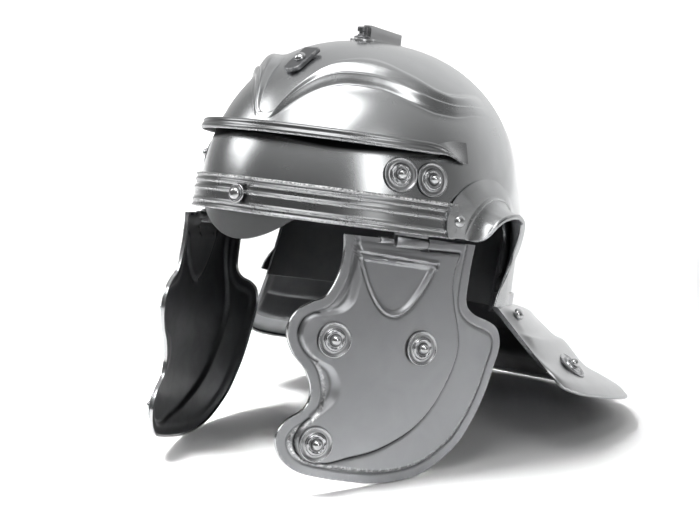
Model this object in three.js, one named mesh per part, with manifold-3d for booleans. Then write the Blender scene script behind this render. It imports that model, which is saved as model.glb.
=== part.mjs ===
// Roman legionary helmet in steel, standing on its cheek guards and the back of its neck guard.
// Millimetres, +Z up. The wearer faces -Y and the wearer's left is +X.
// Pieces are shaped in the helmet's own frame: z = 0 is the lower edge of the brow band, and the
// bowl's centre is x = y = 0. A group then tips the whole helmet back on to its feet.
import * as THREE from 'three';
import { mergeVertices } from 'three/addons/utils/BufferGeometryUtils.js';
import Module from 'manifold-3d';

// Sheets and clearances
const sheet = 1.6;
const seatGap = 0.3;
const facetSag = 0.15;

// Bowl: half a superellipsoid above the brow line, an upright wall below it
const bowlHalfWidth = 102.5;
const bowlHalfLength = 118;
const bowlCrown = 124.3;
const bowlPower = 2.3;
const napeDepth = 43;
const napeSlant = 5;
const browRise = 1;
const tongueHalfWidth = 40;
const tongueDepth = 16.5;
const earMiddle = 12.5;
const earHalf = 20.5;
const earTop = 19;
const eyebrowLift = 4;

// Brow band and peak
const bandHeight = 22.5;
const bandThickness = 2.2;
const bandRib = 1.5;
const bandEndAngle = 74.5;
const peakHeight = 55.5;
const peakReach = 10;
const peakDrop = 6.6;
const peakEndAngle = 80.5;
const peakTwistAngle = 62;

// Neck guard
const collarTop = 35;
const neckHalfWidth = 146;
const neckBack = 224;
const neckDrop = 96;
const neckBead = 1.8;

// Ear guards
const earFlare = 11.5;
const earFootLift = 2.2;

// Cheek guards, in plate coordinates: u runs rearwards along the hinge, v runs down the plate
const hingeForward = 80.6;
const hingeAside = 77.7;
const hingeDrop = 5.7;
const hingeToe = 17.2;
const guardLean = 0.5;
const guardBend = 400;
const guardBendCentre = 0.355;
const guardWidth = 155;
const guardHeight = 156;
const guardBorder = 6.5;
const fieldLift = 3;
const bandLift = 1.2;
const shieldSink = 1.8;
const knuckleRadius = 3;
const knuckleStart = 18;
const knuckleLength = 24;
const guardTube = 2.4;
const guardTubeLength = 9.5;
const pinRadius = 1;
const hingeSlit = 1.6;
const hingeGap = 0.6;
const strapHeight = 20;

// Bosses and rivets
const dishRadius = 10.2;
const dishHeight = 3.4;
const studRadius = 3.4;
const studHeight = 3.4;
const rivetRadius = 3.8;
const rivetHeight = 3;
const washerRadius = 6.3;
const washerHeight = 1.2;

// Crest fittings
const hookLength = 27;
const hookWidth = 13;
const hookThickness = 2.6;
const hookForward = 78;
const crestLength = 32.5;
const crestWidth = 7;
const crestHeight = 7.4;
const crestWall = 1.2;
const crestTilt = 2.6;
const crestShift = -1.2;
const crestBaseThickness = 1.5;
const crestBaseDisc = 8.2;
const crestBaseStrip = 5.2;
const crestBaseTail = 4;
const crestPinShift = 4;
const crestPinHead = 3.3;
const crestPinHeadHeight = 3.7;
const crestPinStem = 2.1;
const crestPinStemHeight = 4.2;

// Facets
const frontColumns = 19;
const earColumns = 7;
const rearColumns = 7;
const bandSteps = 30;
const guardRays = 39;
const guardTopRays = 6;
const dishSides = 10;
const studSides = 8;

const degree = Math.PI / 180;
const steel = new THREE.Color('#b4b6b8');

// Eyebrow ridges by degrees from the front: heights as shares of bowlCrown, lift as a share of eyebrowLift
const eyebrows = [
  { angle: 3, mid: 0.500, above: 0.012, below: 0.012, lift: 0.0 },
  { angle: 5, mid: 0.520, above: 0.040, below: 0.025, lift: 0.7 },
  { angle: 11, mid: 0.625, above: 0.060, below: 0.055, lift: 1.0 },
  { angle: 18, mid: 0.698, above: 0.085, below: 0.058, lift: 1.0 },
  { angle: 28, mid: 0.742, above: 0.090, below: 0.050, lift: 1.0 },
  { angle: 38, mid: 0.752, above: 0.090, below: 0.048, lift: 1.0 },
  { angle: 48, mid: 0.743, above: 0.086, below: 0.050, lift: 1.0 },
  { angle: 63, mid: 0.697, above: 0.080, below: 0.058, lift: 1.0 },
  { angle: 71, mid: 0.676, above: 0.070, below: 0.060, lift: 0.9 },
  { angle: 79, mid: 0.670, above: 0.055, below: 0.052, lift: 0.7 },
  { angle: 90, mid: 0.685, above: 0.055, below: 0.045, lift: 0.4 },
  { angle: 101, mid: 0.690, above: 0.055, below: 0.045, lift: 0.0 },
];

// Bowl rows, as shares of bowlCrown above the edge
const bowlRows = [0, 0.12, 0.24, 0.36, 0.46, 0.53, 0.585, 0.64, 0.69, 0.735, 0.78, 0.83, 0.88, 0.93, 0.975];
const liningRows = [0, 0.2, 0.42, 0.66, 0.86];

// Brow band face, from its lower to its upper edge: height as a share of bandHeight, rib of bandRib
const bandFace = [
  { height: 0.00, rib: 0.35 },
  { height: 0.05, rib: 1.00 },
  { height: 0.15, rib: 0.20 },
  { height: 0.22, rib: 0.95 },
  { height: 0.29, rib: 0.10 },
  { height: 0.51, rib: 0.10 },
  { height: 0.565, rib: 0.95 },
  { height: 0.63, rib: 0.10 },
  { height: 0.80, rib: 0.90 },
  { height: 0.88, rib: 0.30 },
  { height: 0.96, rib: 0.75 },
  { height: 1.00, rib: 0.20 },
];

// Peak section: out as a share of peakReach, down as a share of peakDrop
const peakSection = [
  { out: 0.00, down: 0.00 },
  { out: 0.84, down: -0.04 },
  { out: 0.97, down: 0.08 },
  { out: 1.00, down: 0.28 },
  { out: 0.92, down: 0.50 },
  { out: 1.00, down: 0.74 },
  { out: 0.93, down: 1.00 },
  { out: 0.80, down: 0.96 },
  { out: 0.76, down: 0.26 },
  { out: 0.00, down: 0.24 },
];

// Neck guard rim from its front corner to its back: nape angle, then shares of neckHalfWidth,
// neckBack and neckDrop
const neckRim = [
  { angle: 103, side: 0.925, back: 0.224, drop: 0.820 },
  { angle: 108, side: 0.978, back: 0.254, drop: 0.895 },
  { angle: 114, side: 1.000, back: 0.322, drop: 0.935 },
  { angle: 122.5, side: 0.998, back: 0.424, drop: 0.955 },
  { angle: 131, side: 0.978, back: 0.545, drop: 0.965 },
  { angle: 138, side: 0.930, back: 0.661, drop: 0.972 },
  { angle: 146, side: 0.836, back: 0.770, drop: 0.980 },
  { angle: 154, side: 0.685, back: 0.866, drop: 0.985 },
  { angle: 162, side: 0.480, back: 0.942, drop: 0.990 },
  { angle: 171, side: 0.247, back: 0.986, drop: 0.997 },
  { angle: 180, side: 0.000, back: 1.000, drop: 1.000 },
];

// Neck guard slope from the nape to the rim: shares of the way out and of the way down
const neckSlope = [
  { out: 0.00, down: 0.000 },
  { out: 0.14, down: 0.045 },
  { out: 0.22, down: 0.140 },
  { out: 0.385, down: 0.340 },
  { out: 0.445, down: 0.370 },
  { out: 0.485, down: 0.425 },
  { out: 0.64, down: 0.670 },
  { out: 0.78, down: 0.770 },
  { out: 0.92, down: 0.880 },
  { out: 1.00, down: 1.000 },
];

// Ear guard stations from its front foot, over the ear, to its rear foot. Lengths are offsets in
// shares of earTop from the middle of the ear opening; flare is a share of earFlare
const earStations = [
  { baseY: -2.18, baseZ: 0.05, rootY: -1.50, rootZ: 0.06, lipY: -1.48, lipZ: 0.03, flare: 0.00, lift: 0 },
  { baseY: -2.24, baseZ: 0.42, rootY: -1.39, rootZ: 0.26, lipY: -1.08, lipZ: 0.07, flare: 0.26, lift: 0 },
  { baseY: -2.24, baseZ: 0.79, rootY: -1.32, rootZ: 0.50, lipY: -0.83, lipZ: 0.28, flare: 0.52, lift: 0 },
  { baseY: -2.13, baseZ: 1.21, rootY: -1.24, rootZ: 0.79, lipY: -0.63, lipZ: 0.62, flare: 0.78, lift: 0 },
  { baseY: -1.87, baseZ: 1.58, rootY: -1.08, rootZ: 1.11, lipY: -0.39, lipZ: 0.85, flare: 0.93, lift: 0 },
  { baseY: -1.39, baseZ: 1.92, rootY: -0.76, rootZ: 1.37, lipY: -0.16, lipZ: 0.94, flare: 0.97, lift: 0 },
  { baseY: -0.76, baseZ: 2.13, rootY: -0.34, rootZ: 1.53, lipY: 0.08, lipZ: 1.00, flare: 0.99, lift: 0 },
  { baseY: -0.13, baseZ: 2.16, rootY: 0.08, rootZ: 1.55, lipY: 0.32, lipZ: 1.02, flare: 0.99, lift: 0 },
  { baseY: 0.50, baseZ: 2.00, rootY: 0.55, rootZ: 1.50, lipY: 0.55, lipZ: 1.01, flare: 0.97, lift: 0 },
  { baseY: 1.08, baseZ: 1.68, rootY: 0.97, rootZ: 1.32, lipY: 0.89, lipZ: 0.85, flare: 0.93, lift: 0 },
  { baseY: 1.50, baseZ: 1.16, rootY: 1.29, rootZ: 0.89, lipY: 1.03, lipZ: 0.58, flare: 0.85, lift: 0 },
  { baseY: 1.76, baseZ: 0.58, rootY: 1.50, rootZ: 0.42, lipY: 1.21, lipZ: 0.16, flare: 0.63, lift: 0 },
  { baseY: 1.87, baseZ: -0.11, rootY: 1.61, rootZ: -0.16, lipY: 1.31, lipZ: -0.38, flare: 0.36, lift: 0 },
  { baseY: 1.87, baseZ: -0.84, rootY: 1.53, rootZ: -0.84, lipY: 1.15, lipZ: -0.98, flare: 0.17, lift: 0.1 },
  { baseY: 1.76, baseZ: -1.63, rootY: 1.32, rootZ: -1.63, lipY: 0.66, lipZ: -1.63, flare: 0.00, lift: 0.9 },
  { baseY: 1.66, baseZ: -2.18, rootY: 1.13, rootZ: -2.18, lipY: 0.47, lipZ: -2.08, flare: 0.00, lift: 1 },
];

// Cheek guard outline from the top front corner down the front, along the bottom and up the back.
// across is a share of guardWidth and down of guardHeight
const guardOutline = [
  { across: -0.103, down: 0.008 },
  { across: -0.097, down: 0.090 },
  { across: -0.110, down: 0.173 },
  { across: -0.148, down: 0.244 },
  { across: -0.200, down: 0.285 },
  { across: -0.258, down: 0.327 },
  { across: -0.284, down: 0.385 },
  { across: -0.277, down: 0.442 },
  { across: -0.239, down: 0.506 },
  { across: -0.187, down: 0.564 },
  { across: -0.161, down: 0.622 },
  { across: -0.161, down: 0.679 },
  { across: -0.190, down: 0.720 },
  { across: -0.239, down: 0.756 },
  { across: -0.271, down: 0.808 },
  { across: -0.271, down: 0.865 },
  { across: -0.239, down: 0.917 },
  { across: -0.168, down: 0.955 },
  { across: -0.032, down: 0.981 },
  { across: 0.148, down: 0.987 },
  { across: 0.290, down: 0.968 },
  { across: 0.413, down: 0.923 },
  { across: 0.516, down: 0.846 },
  { across: 0.594, down: 0.744 },
  { across: 0.658, down: 0.609 },
  { across: 0.697, down: 0.487 },
  { across: 0.716, down: 0.397 },
  { across: 0.710, down: 0.346 },
  { across: 0.677, down: 0.308 },
  { across: 0.613, down: 0.288 },
  { across: 0.555, down: 0.272 },
  { across: 0.516, down: 0.244 },
  { across: 0.497, down: 0.199 },
  { across: 0.499, down: 0.090 },
  { across: 0.506, down: -0.012 },
];

// Edge of the raised field of a cheek guard, in the same shares and order
const guardField = [
  { across: -0.045, down: 0.062 },
  { across: -0.035, down: 0.173 },
  { across: -0.040, down: 0.260 },
  { across: -0.080, down: 0.310 },
  { across: -0.190, down: 0.333 },
  { across: -0.228, down: 0.372 },
  { across: -0.235, down: 0.420 },
  { across: -0.205, down: 0.480 },
  { across: -0.125, down: 0.522 },
  { across: -0.072, down: 0.585 },
  { across: -0.066, down: 0.635 },
  { across: -0.110, down: 0.710 },
  { across: -0.185, down: 0.785 },
  { across: -0.194, down: 0.840 },
  { across: -0.165, down: 0.900 },
  { across: -0.065, down: 0.905 },
  { across: 0.129, down: 0.853 },
  { across: 0.297, down: 0.756 },
  { across: 0.400, down: 0.635 },
  { across: 0.465, down: 0.487 },
  { across: 0.472, down: 0.385 },
  { across: 0.432, down: 0.256 },
  { across: 0.406, down: 0.150 },
  { across: 0.425, down: 0.062 },
];

// Sunk shield at the top of the field: half-width, top and bottom, in the same shares
const shield = { across: 0.135, half: 0.165, top: 0.085, bottom: 0.302 };

// Centre of the star of rays that meshes a cheek guard, in the same shares
const guardHub = { across: 0.226, down: 0.545 };

const guardBosses = [
  { across: -0.103, down: 0.423 },
  { across: 0.290, down: 0.423 },
  { across: -0.123, down: 0.840 },
];

// Bosses on the brow by degrees from the front, and height above the brow line
const browBosses = [
  { angle: 55.6, height: 35.8 },
  { angle: 66.9, height: 35.3 },
];

const neckBossAt = { station: 3.3, slope: 6 };
const neckBossSeat = 2.8;

const wasm = await Module();
wasm.setup();

function lerp(a, b, share) {
  return a + (b - a) * share;
}

function smooth(low, high, value) {
  const share = THREE.MathUtils.clamp((value - low) / (high - low), 0, 1);
  return share * share * (3 - 2 * share);
}

// Value of one column of a table at a key, straight between rows
function tableAt(rows, keyName, key, column) {
  const last = rows.length - 1;
  if (key <= rows[0][keyName]) return rows[0][column];
  if (key >= rows[last][keyName]) return rows[last][column];
  const next = rows.findIndex((row) => row[keyName] > key);
  const before = rows[next - 1];
  const after = rows[next];
  const share = (key - before[keyName]) / (after[keyName] - before[keyName]);
  return lerp(before[column], after[column], share);
}

// Bowl surface at an angle from the front and a height, pushed out by an offset along its normal
function bowlShare(z) {
  const rise = THREE.MathUtils.clamp(z / bowlCrown, 0, 1);
  return Math.pow(1 - Math.pow(rise, bowlPower), 1 / bowlPower);
}

function bowlBase(angle, z) {
  const share = bowlShare(z);
  return new THREE.Vector3(
    bowlHalfWidth * Math.sin(angle) * share,
    -bowlHalfLength * Math.cos(angle) * share,
    z,
  );
}

function bowlNormal(angle, z) {
  const step = 0.02;
  const along = bowlBase(angle + step, z).sub(bowlBase(angle - step, z));
  const rise = bowlBase(angle, Math.min(z + step, bowlCrown)).sub(bowlBase(angle, z - step));
  return along.cross(rise).normalize();
}

function bowlPoint(angle, z, offset) {
  return bowlBase(angle, z).addScaledVector(bowlNormal(angle, z), offset);
}

// The same surface at a distance behind the bowl's centre, on the wearer's left
function sideAngle(y, z) {
  return Math.acos(THREE.MathUtils.clamp(-y / (bowlHalfLength * bowlShare(z)), -1, 1));
}

function sidePoint(y, z, offset) {
  return bowlPoint(sideAngle(y, z), z, offset);
}

// How far the eyebrow ridge stands up: rounded above its middle line, hollowed below it
function eyebrowAt(angle, z) {
  const key = Math.abs(angle) / degree;
  const lift = eyebrowLift * tableAt(eyebrows, 'angle', key, 'lift');
  if (lift <= 0 || key > eyebrows[eyebrows.length - 1].angle) return 0;
  const mid = bowlCrown * tableAt(eyebrows, 'angle', key, 'mid');
  const above = bowlCrown * tableAt(eyebrows, 'angle', key, 'above');
  const below = bowlCrown * tableAt(eyebrows, 'angle', key, 'below');
  if (z >= mid + above || z <= mid - below) return 0;
  if (z >= mid) return lift * Math.pow(1 - Math.pow((z - mid) / above, 2), 1.2);
  return 0.75 * lift * Math.pow(1 - (mid - z) / below, 1.5);
}

// Lower edge of the bowl: brow with its tongue, ear opening, nape
function bowlEdge(angle) {
  const side = bowlHalfWidth * Math.abs(Math.sin(angle));
  const back = -bowlHalfLength * Math.cos(angle);
  const away = (back - earMiddle) / earHalf;
  if (away >= 1 + seatGap / earHalf) return -napeDepth;
  if (away > -1) return lerp(browRise, earTop, Math.sqrt(Math.max(0, 1 - away * away)));
  if (side >= tongueHalfWidth || back > 0) return browRise;
  return browRise - (browRise + tongueDepth) * (1 - Math.pow(side / tongueHalfWidth, 2));
}

// Below the brow line the rear edge of the ear opening runs forward as it goes down
function slanted(angle, z) {
  if (z >= 0) return angle;
  const start = Math.acos(-(earMiddle + earHalf) / bowlHalfLength);
  const fade = (Math.PI - Math.abs(angle)) / (Math.PI - start);
  if (fade > 1.1) return angle;
  return angle + Math.sign(angle) * napeSlant * degree * fade * (z / napeDepth);
}

function bowlAngles() {
  const frontEnd = Math.acos((earHalf - earMiddle) / bowlHalfLength);
  const rearStart = Math.acos(-(earMiddle + earHalf + 2 * seatGap) / bowlHalfLength);
  const angles = [];
  for (let k = 0; k <= frontColumns; k += 1) angles.push((frontEnd * k) / frontColumns);
  for (let k = 1; k <= earColumns; k += 1) {
    const back = earMiddle - earHalf * Math.cos((Math.PI * k) / earColumns);
    angles.push(Math.acos(-back / bowlHalfLength));
  }
  for (let k = 0; k <= rearColumns; k += 1) angles.push(lerp(rearStart, Math.PI, k / rearColumns));
  const mirrored = angles.slice(1, -1).reverse().map((angle) => -angle);
  return angles.concat(mirrored);
}

// Closed mesh from points and faces, turned so that its faces point out
function closedGeometry(points, faces) {
  let volume = 0;
  for (let f = 0; f < faces.length; f += 3) {
    const [a, b, c] = [points[faces[f]], points[faces[f + 1]], points[faces[f + 2]]];
    volume += a.dot(b.clone().cross(c));
  }
  const index = faces.slice();
  if (volume < 0) {
    for (let f = 0; f < index.length; f += 3) [index[f + 1], index[f + 2]] = [index[f + 2], index[f + 1]];
  }
  const geometry = new THREE.BufferGeometry();
  const position = points.flatMap((point) => [point.x, point.y, point.z]);
  geometry.setAttribute('position', new THREE.Float32BufferAttribute(position, 3));
  geometry.setIndex(index);
  geometry.computeVertexNormals();
  return geometry;
}

function quad(faces, a, b, c, d) {
  faces.push(a, b, c, a, c, d);
}

// A shell closed round its columns, with a pole on each side and one shared rim
function shellGeometry(outerRows, outerPole, innerRows, innerPole) {
  const columns = outerRows[0].length;
  const points = [...outerRows.flat(), outerPole, ...innerRows.flat(), innerPole];
  const outer = (row, column) => row * columns + (column % columns);
  const poleOut = outerRows.length * columns;
  const inner = (row, column) => poleOut + 1 + row * columns + (column % columns);
  const poleIn = points.length - 1;
  const faces = [];
  for (let c = 0; c < columns; c += 1) {
    for (let r = 0; r + 1 < outerRows.length; r += 1) {
      quad(faces, outer(r, c), outer(r, c + 1), outer(r + 1, c + 1), outer(r + 1, c));
    }
    faces.push(outer(outerRows.length - 1, c), outer(outerRows.length - 1, c + 1), poleOut);
    for (let r = 0; r + 1 < innerRows.length; r += 1) {
      quad(faces, inner(r, c + 1), inner(r, c), inner(r + 1, c), inner(r + 1, c + 1));
    }
    faces.push(inner(innerRows.length - 1, c + 1), inner(innerRows.length - 1, c), poleIn);
    quad(faces, outer(0, c + 1), outer(0, c), inner(0, c), inner(0, c + 1));
  }
  return closedGeometry(points, faces);
}

// A sheet between a front and a back grid of the same size, closed round its four edges
function sheetGeometry(front, back) {
  const rows = front.length;
  const columns = front[0].length;
  const points = [...front.flat(), ...back.flat()];
  const at = (row, column) => row * columns + column;
  const behind = (row, column) => rows * columns + row * columns + column;
  const faces = [];
  for (let r = 0; r + 1 < rows; r += 1) {
    for (let c = 0; c + 1 < columns; c += 1) {
      quad(faces, at(r, c), at(r, c + 1), at(r + 1, c + 1), at(r + 1, c));
      quad(faces, behind(r, c + 1), behind(r, c), behind(r + 1, c), behind(r + 1, c + 1));
    }
    quad(faces, at(r + 1, 0), behind(r + 1, 0), behind(r, 0), at(r, 0));
    quad(faces, at(r, columns - 1), behind(r, columns - 1), behind(r + 1, columns - 1), at(r + 1, columns - 1));
  }
  for (let c = 0; c + 1 < columns; c += 1) {
    quad(faces, at(0, c), behind(0, c), behind(0, c + 1), at(0, c + 1));
    quad(faces, at(rows - 1, c + 1), behind(rows - 1, c + 1), behind(rows - 1, c), at(rows - 1, c));
  }
  return closedGeometry(points, faces);
}

// Unit normals of a grid of points
function gridNormals(grid) {
  const lastRow = grid.length - 1;
  const lastColumn = grid[0].length - 1;
  return grid.map((row, r) => row.map((point, c) => {
    const across = grid[r][Math.min(c + 1, lastColumn)].clone().sub(grid[r][Math.max(c - 1, 0)]);
    const down = grid[Math.min(r + 1, lastRow)][c].clone().sub(grid[Math.max(r - 1, 0)][c]);
    return across.cross(down).normalize();
  }));
}

function offsetGrid(grid, distance) {
  const normals = gridNormals(grid);
  return grid.map((row, r) => row.map((point, c) => {
    const reach = typeof distance === 'number' ? distance : distance(r, c);
    return point.clone().addScaledVector(normals[r][c], reach);
  }));
}

// A ring of points carried through stations, with flat caps triangulated from its outline
function loftGeometry(stations, outline) {
  const count = outline.length;
  const points = stations.flat();
  const faces = [];
  for (let s = 0; s + 1 < stations.length; s += 1) {
    for (let k = 0; k < count; k += 1) {
      const next = (k + 1) % count;
      quad(faces, s * count + k, s * count + next, (s + 1) * count + next, (s + 1) * count + k);
    }
  }
  const cap = THREE.ShapeUtils.triangulateShape(outline, []);
  const end = (stations.length - 1) * count;
  for (const [a, b, c] of cap) {
    const turned = THREE.ShapeUtils.isClockWise(outline);
    faces.push(...(turned ? [a, b, c] : [a, c, b]));
    faces.push(...(turned ? [end + a, end + c, end + b] : [end + a, end + b, end + c]));
  }
  return closedGeometry(points, faces);
}

function mirrored(geometry) {
  const copy = geometry.clone();
  const position = copy.getAttribute('position');
  for (let k = 0; k < position.count; k += 1) position.setX(k, -position.getX(k));
  const index = copy.getIndex();
  for (let k = 0; k < index.count; k += 3) {
    const held = index.getX(k + 1);
    index.setX(k + 1, index.getX(k + 2));
    index.setX(k + 2, held);
  }
  copy.computeVertexNormals();
  return copy;
}

function toSolid(geometry) {
  const bare = geometry.clone();
  bare.deleteAttribute('normal');
  if (bare.getAttribute('uv')) bare.deleteAttribute('uv');
  const merged = mergeVertices(bare, 1e-4);
  return new wasm.Manifold(new wasm.Mesh({
    numProp: 3,
    vertProperties: new Float32Array(merged.getAttribute('position').array),
    triVerts: new Uint32Array(merged.getIndex().array),
  }));
}

function fromSolid(solid) {
  const mesh = solid.getMesh();
  const geometry = new THREE.BufferGeometry();
  geometry.setAttribute('position', new THREE.Float32BufferAttribute(mesh.vertProperties, 3));
  geometry.setIndex(Array.from(mesh.triVerts));
  geometry.computeVertexNormals();
  return geometry;
}

// The whole helmet in its own frame, and a look-up of its meshes by name
const helmet = new THREE.Group();
const tipped = new THREE.Group();
helmet.add(tipped);

function addPiece(name, geometry, roughness) {
  const material = new THREE.MeshStandardMaterial({ color: steel, metalness: 1, roughness });
  const mesh = new THREE.Mesh(geometry, material);
  mesh.name = name;
  tipped.add(mesh);
  return mesh;
}

// Bowl
function bowlGeometry() {
  const angles = bowlAngles();
  const rowAt = (share, offset, ridged) => angles.map((angle) => {
    const settle = Math.pow(1 - share, 3);
    const z = bowlCrown * share + bowlEdge(angle) * settle;
    const lift = ridged ? eyebrowAt(angle, z) : 0;
    return bowlPoint(slanted(angle, z), z, offset + lift);
  });
  const outer = bowlRows.map((share) => rowAt(share, 0, true));
  const inner = liningRows.map((share) => rowAt(share, -sheet, false));
  const top = new THREE.Vector3(0, 0, bowlCrown);
  const underTop = new THREE.Vector3(0, 0, bowlCrown - sheet);
  return shellGeometry(outer, top, inner, underTop);
}
addPiece('bowl', bowlGeometry(), 0.26);

// Brow band
function bandGeometry() {
  const seat = seatGap + facetSag;
  const outline = bandFace.map((row) => new THREE.Vector2(
    seat + bandThickness + bandRib * row.rib,
    bandHeight * row.height,
  ));
  for (const share of [1, 0.5, 0]) outline.push(new THREE.Vector2(seat, bandHeight * share));
  const stations = [];
  for (let k = 0; k <= bandSteps; k += 1) {
    const angle = lerp(-bandEndAngle, bandEndAngle, k / bandSteps) * degree;
    stations.push(outline.map((corner) => bowlPoint(angle, corner.y, corner.x)));
  }
  return loftGeometry(stations, outline);
}
addPiece('brow_band', bandGeometry(), 0.32);

// Peak: flat and level in front, twisting until it lies on the bowl at its ends
function peakGeometry() {
  const outline = peakSection.map((row) => new THREE.Vector2(peakReach * row.out, peakDrop * row.down));
  const flatDrop = sheet;
  const stations = [];
  for (let k = 0; k <= bandSteps; k += 1) {
    const angle = lerp(-peakEndAngle, peakEndAngle, k / bandSteps) * degree;
    const turn = smooth(peakTwistAngle, peakEndAngle, Math.abs(angle) / degree);
    const twist = (turn * Math.PI) / 2;
    const squeeze = lerp(1, flatDrop / peakDrop, Math.sin(twist));
    const spread = lerp(1, 1.3, turn);
    stations.push(outline.map((corner) => {
      const down = corner.y * squeeze;
      const out = corner.x * Math.cos(twist) + (flatDrop - down) * Math.sin(twist);
      const drop = corner.x * spread * Math.sin(twist) + down * Math.cos(twist);
      const z = peakHeight - drop + 0.55 * peakReach * Math.sin(twist);
      return bowlPoint(angle, z, seatGap + facetSag * (1 + 2 * Math.sin(twist)) + out);
    }));
  }
  return loftGeometry(stations, outline);
}
addPiece('brow_peak', peakGeometry(), 0.28);

// Neck guard surface: a station counts along the rim table, a step along the slope table
function rimCurve() {
  return new THREE.CatmullRomCurve3(neckRim.map((row) => new THREE.Vector3(
    neckHalfWidth * row.side,
    neckBack * row.back,
    -neckDrop * row.drop,
  )));
}

function napeAngle(station) {
  const below = Math.min(Math.floor(station), neckRim.length - 2);
  return lerp(neckRim[below].angle, neckRim[below + 1].angle, station - below) * degree;
}

function neckColumn(rim, station) {
  const end = rim.getPoint(station / (neckRim.length - 1));
  const angle = napeAngle(station);
  const start = bowlPoint(angle, -napeDepth - seatGap, seatGap + facetSag + sheet);
  const collar = bowlPoint(angle, -collarTop, seatGap + facetSag + sheet);
  const slope = neckSlope.map((row) => new THREE.Vector3(
    lerp(start.x, end.x, row.out),
    lerp(start.y, end.y, row.out),
    lerp(start.z, end.z, row.down),
  ));
  return [collar, ...slope];
}

function neckGrid() {
  const rim = rimCurve();
  const last = neckRim.length - 1;
  const columns = [];
  for (let s = 0; s <= last; s += 1) columns.push(neckColumn(rim, s));
  const right = columns.slice(0, -1).reverse();
  const far = right.reverse().map((column) => column.map((point) => point.clone().setX(-point.x)));
  return columns.concat(far.reverse());
}

function neckGeometry() {
  const upper = neckGrid();
  const rimStep = neckSlope.length;
  const lower = offsetGrid(upper, (column, step) => {
    if (step === rimStep) return -2 * neckBead;
    return -sheet;
  });
  return sheetGeometry(upper, lower);
}
addPiece('neck_guard', neckGeometry(), 0.3);

// Ear guards: a base on the bowl, a hollow root and a flared lip round the ear opening
function earGrid() {
  const middle = earMiddle;
  return earStations.map((row) => {
    const lift = seatGap + facetSag + sheet + earFootLift * row.lift;
    const base = sidePoint(middle + earTop * row.baseY, earTop * row.baseZ, lift);
    const root = sidePoint(middle + earTop * row.rootY, earTop * row.rootZ, lift);
    const lip = sidePoint(middle + earTop * row.lipY, earTop * row.lipZ, lift + earFlare * row.flare);
    const rise = sidePoint(
      middle + earTop * lerp(row.rootY, row.lipY, 0.62),
      earTop * lerp(row.rootZ, row.lipZ, 0.62),
      lift + earFlare * row.flare * 0.36,
    );
    return [base, root, rise, lip];
  });
}

function earGeometry() {
  const outer = earGrid();
  return sheetGeometry(outer, offsetGrid(outer, -sheet));
}
addPiece('ear_guard_left', earGeometry(), 0.25);
addPiece('ear_guard_right', mirrored(earGeometry()), 0.25);

// Cheek guards. The hinge frame has u along the pin, v down the plate and w out of its face
const along = new THREE.Vector3(Math.sin(hingeToe * degree), Math.cos(hingeToe * degree), 0);
const outward = new THREE.Vector3(Math.cos(hingeToe * degree), -Math.sin(hingeToe * degree), 0);
const downward = new THREE.Vector3(0, 0, -Math.cos(guardLean * degree))
  .addScaledVector(outward, -Math.sin(guardLean * degree));
const faceward = outward.clone().multiplyScalar(Math.cos(guardLean * degree))
  .add(new THREE.Vector3(0, 0, -Math.sin(guardLean * degree)));
const hingeOrigin = new THREE.Vector3(hingeAside, -hingeForward, -hingeDrop);

const plateRise = hingeDrop - 4;
const plateStand = sheet + 0.85 * guardTube;

function plateBend(u) {
  const away = u - guardWidth * guardBendCentre;
  return -(away * away) / (2 * guardBend);
}

function platePoint(u, v, height) {
  return hingeOrigin.clone()
    .addScaledVector(along, u)
    .addScaledVector(downward, v - plateRise)
    .addScaledVector(faceward, plateStand + height + plateBend(u));
}

function plateCurve(rows) {
  return rows.map((row) => new THREE.Vector3(guardWidth * row.across, guardHeight * row.down, 0));
}

// Distance from the hub to a closed outline along a direction
function reachTo(outline, hub, direction) {
  let reach = 0;
  outline.forEach((start, k) => {
    const end = outline[(k + 1) % outline.length];
    const edge = end.clone().sub(start);
    const cross = direction.x * edge.y - direction.y * edge.x;
    if (Math.abs(cross) < 1e-9) return;
    const away = start.clone().sub(hub);
    const distance = (away.x * edge.y - away.y * edge.x) / cross;
    const share = (away.x * direction.y - away.y * direction.x) / cross;
    if (share >= 0 && share <= 1 && distance > reach) reach = distance;
  });
  return reach;
}

function shieldOutline() {
  const points = [];
  const steps = 12;
  for (let k = 0; k <= steps; k += 1) {
    const side = lerp(-1, 1, k / steps);
    points.push(new THREE.Vector3(
      guardWidth * (shield.across + shield.half * side),
      guardHeight * lerp(shield.bottom, shield.top, side * side),
      0,
    ));
  }
  return points;
}

// Distances from the hub at which a ray enters and leaves the shield, or none
function shieldSpan(outline, hub, direction) {
  const hits = [];
  outline.forEach((start, k) => {
    const end = outline[(k + 1) % outline.length];
    const edge = end.clone().sub(start);
    const cross = direction.x * edge.y - direction.y * edge.x;
    if (Math.abs(cross) < 1e-9) return;
    const away = start.clone().sub(hub);
    const distance = (away.x * edge.y - away.y * edge.x) / cross;
    const share = (away.x * direction.y - away.y * direction.x) / cross;
    if (share >= 0 && share < 1 && distance > 0) hits.push(distance);
  });
  hits.sort((a, b) => a - b);
  return hits.length >= 2 ? [hits[0], hits[hits.length - 1]] : null;
}

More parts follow.
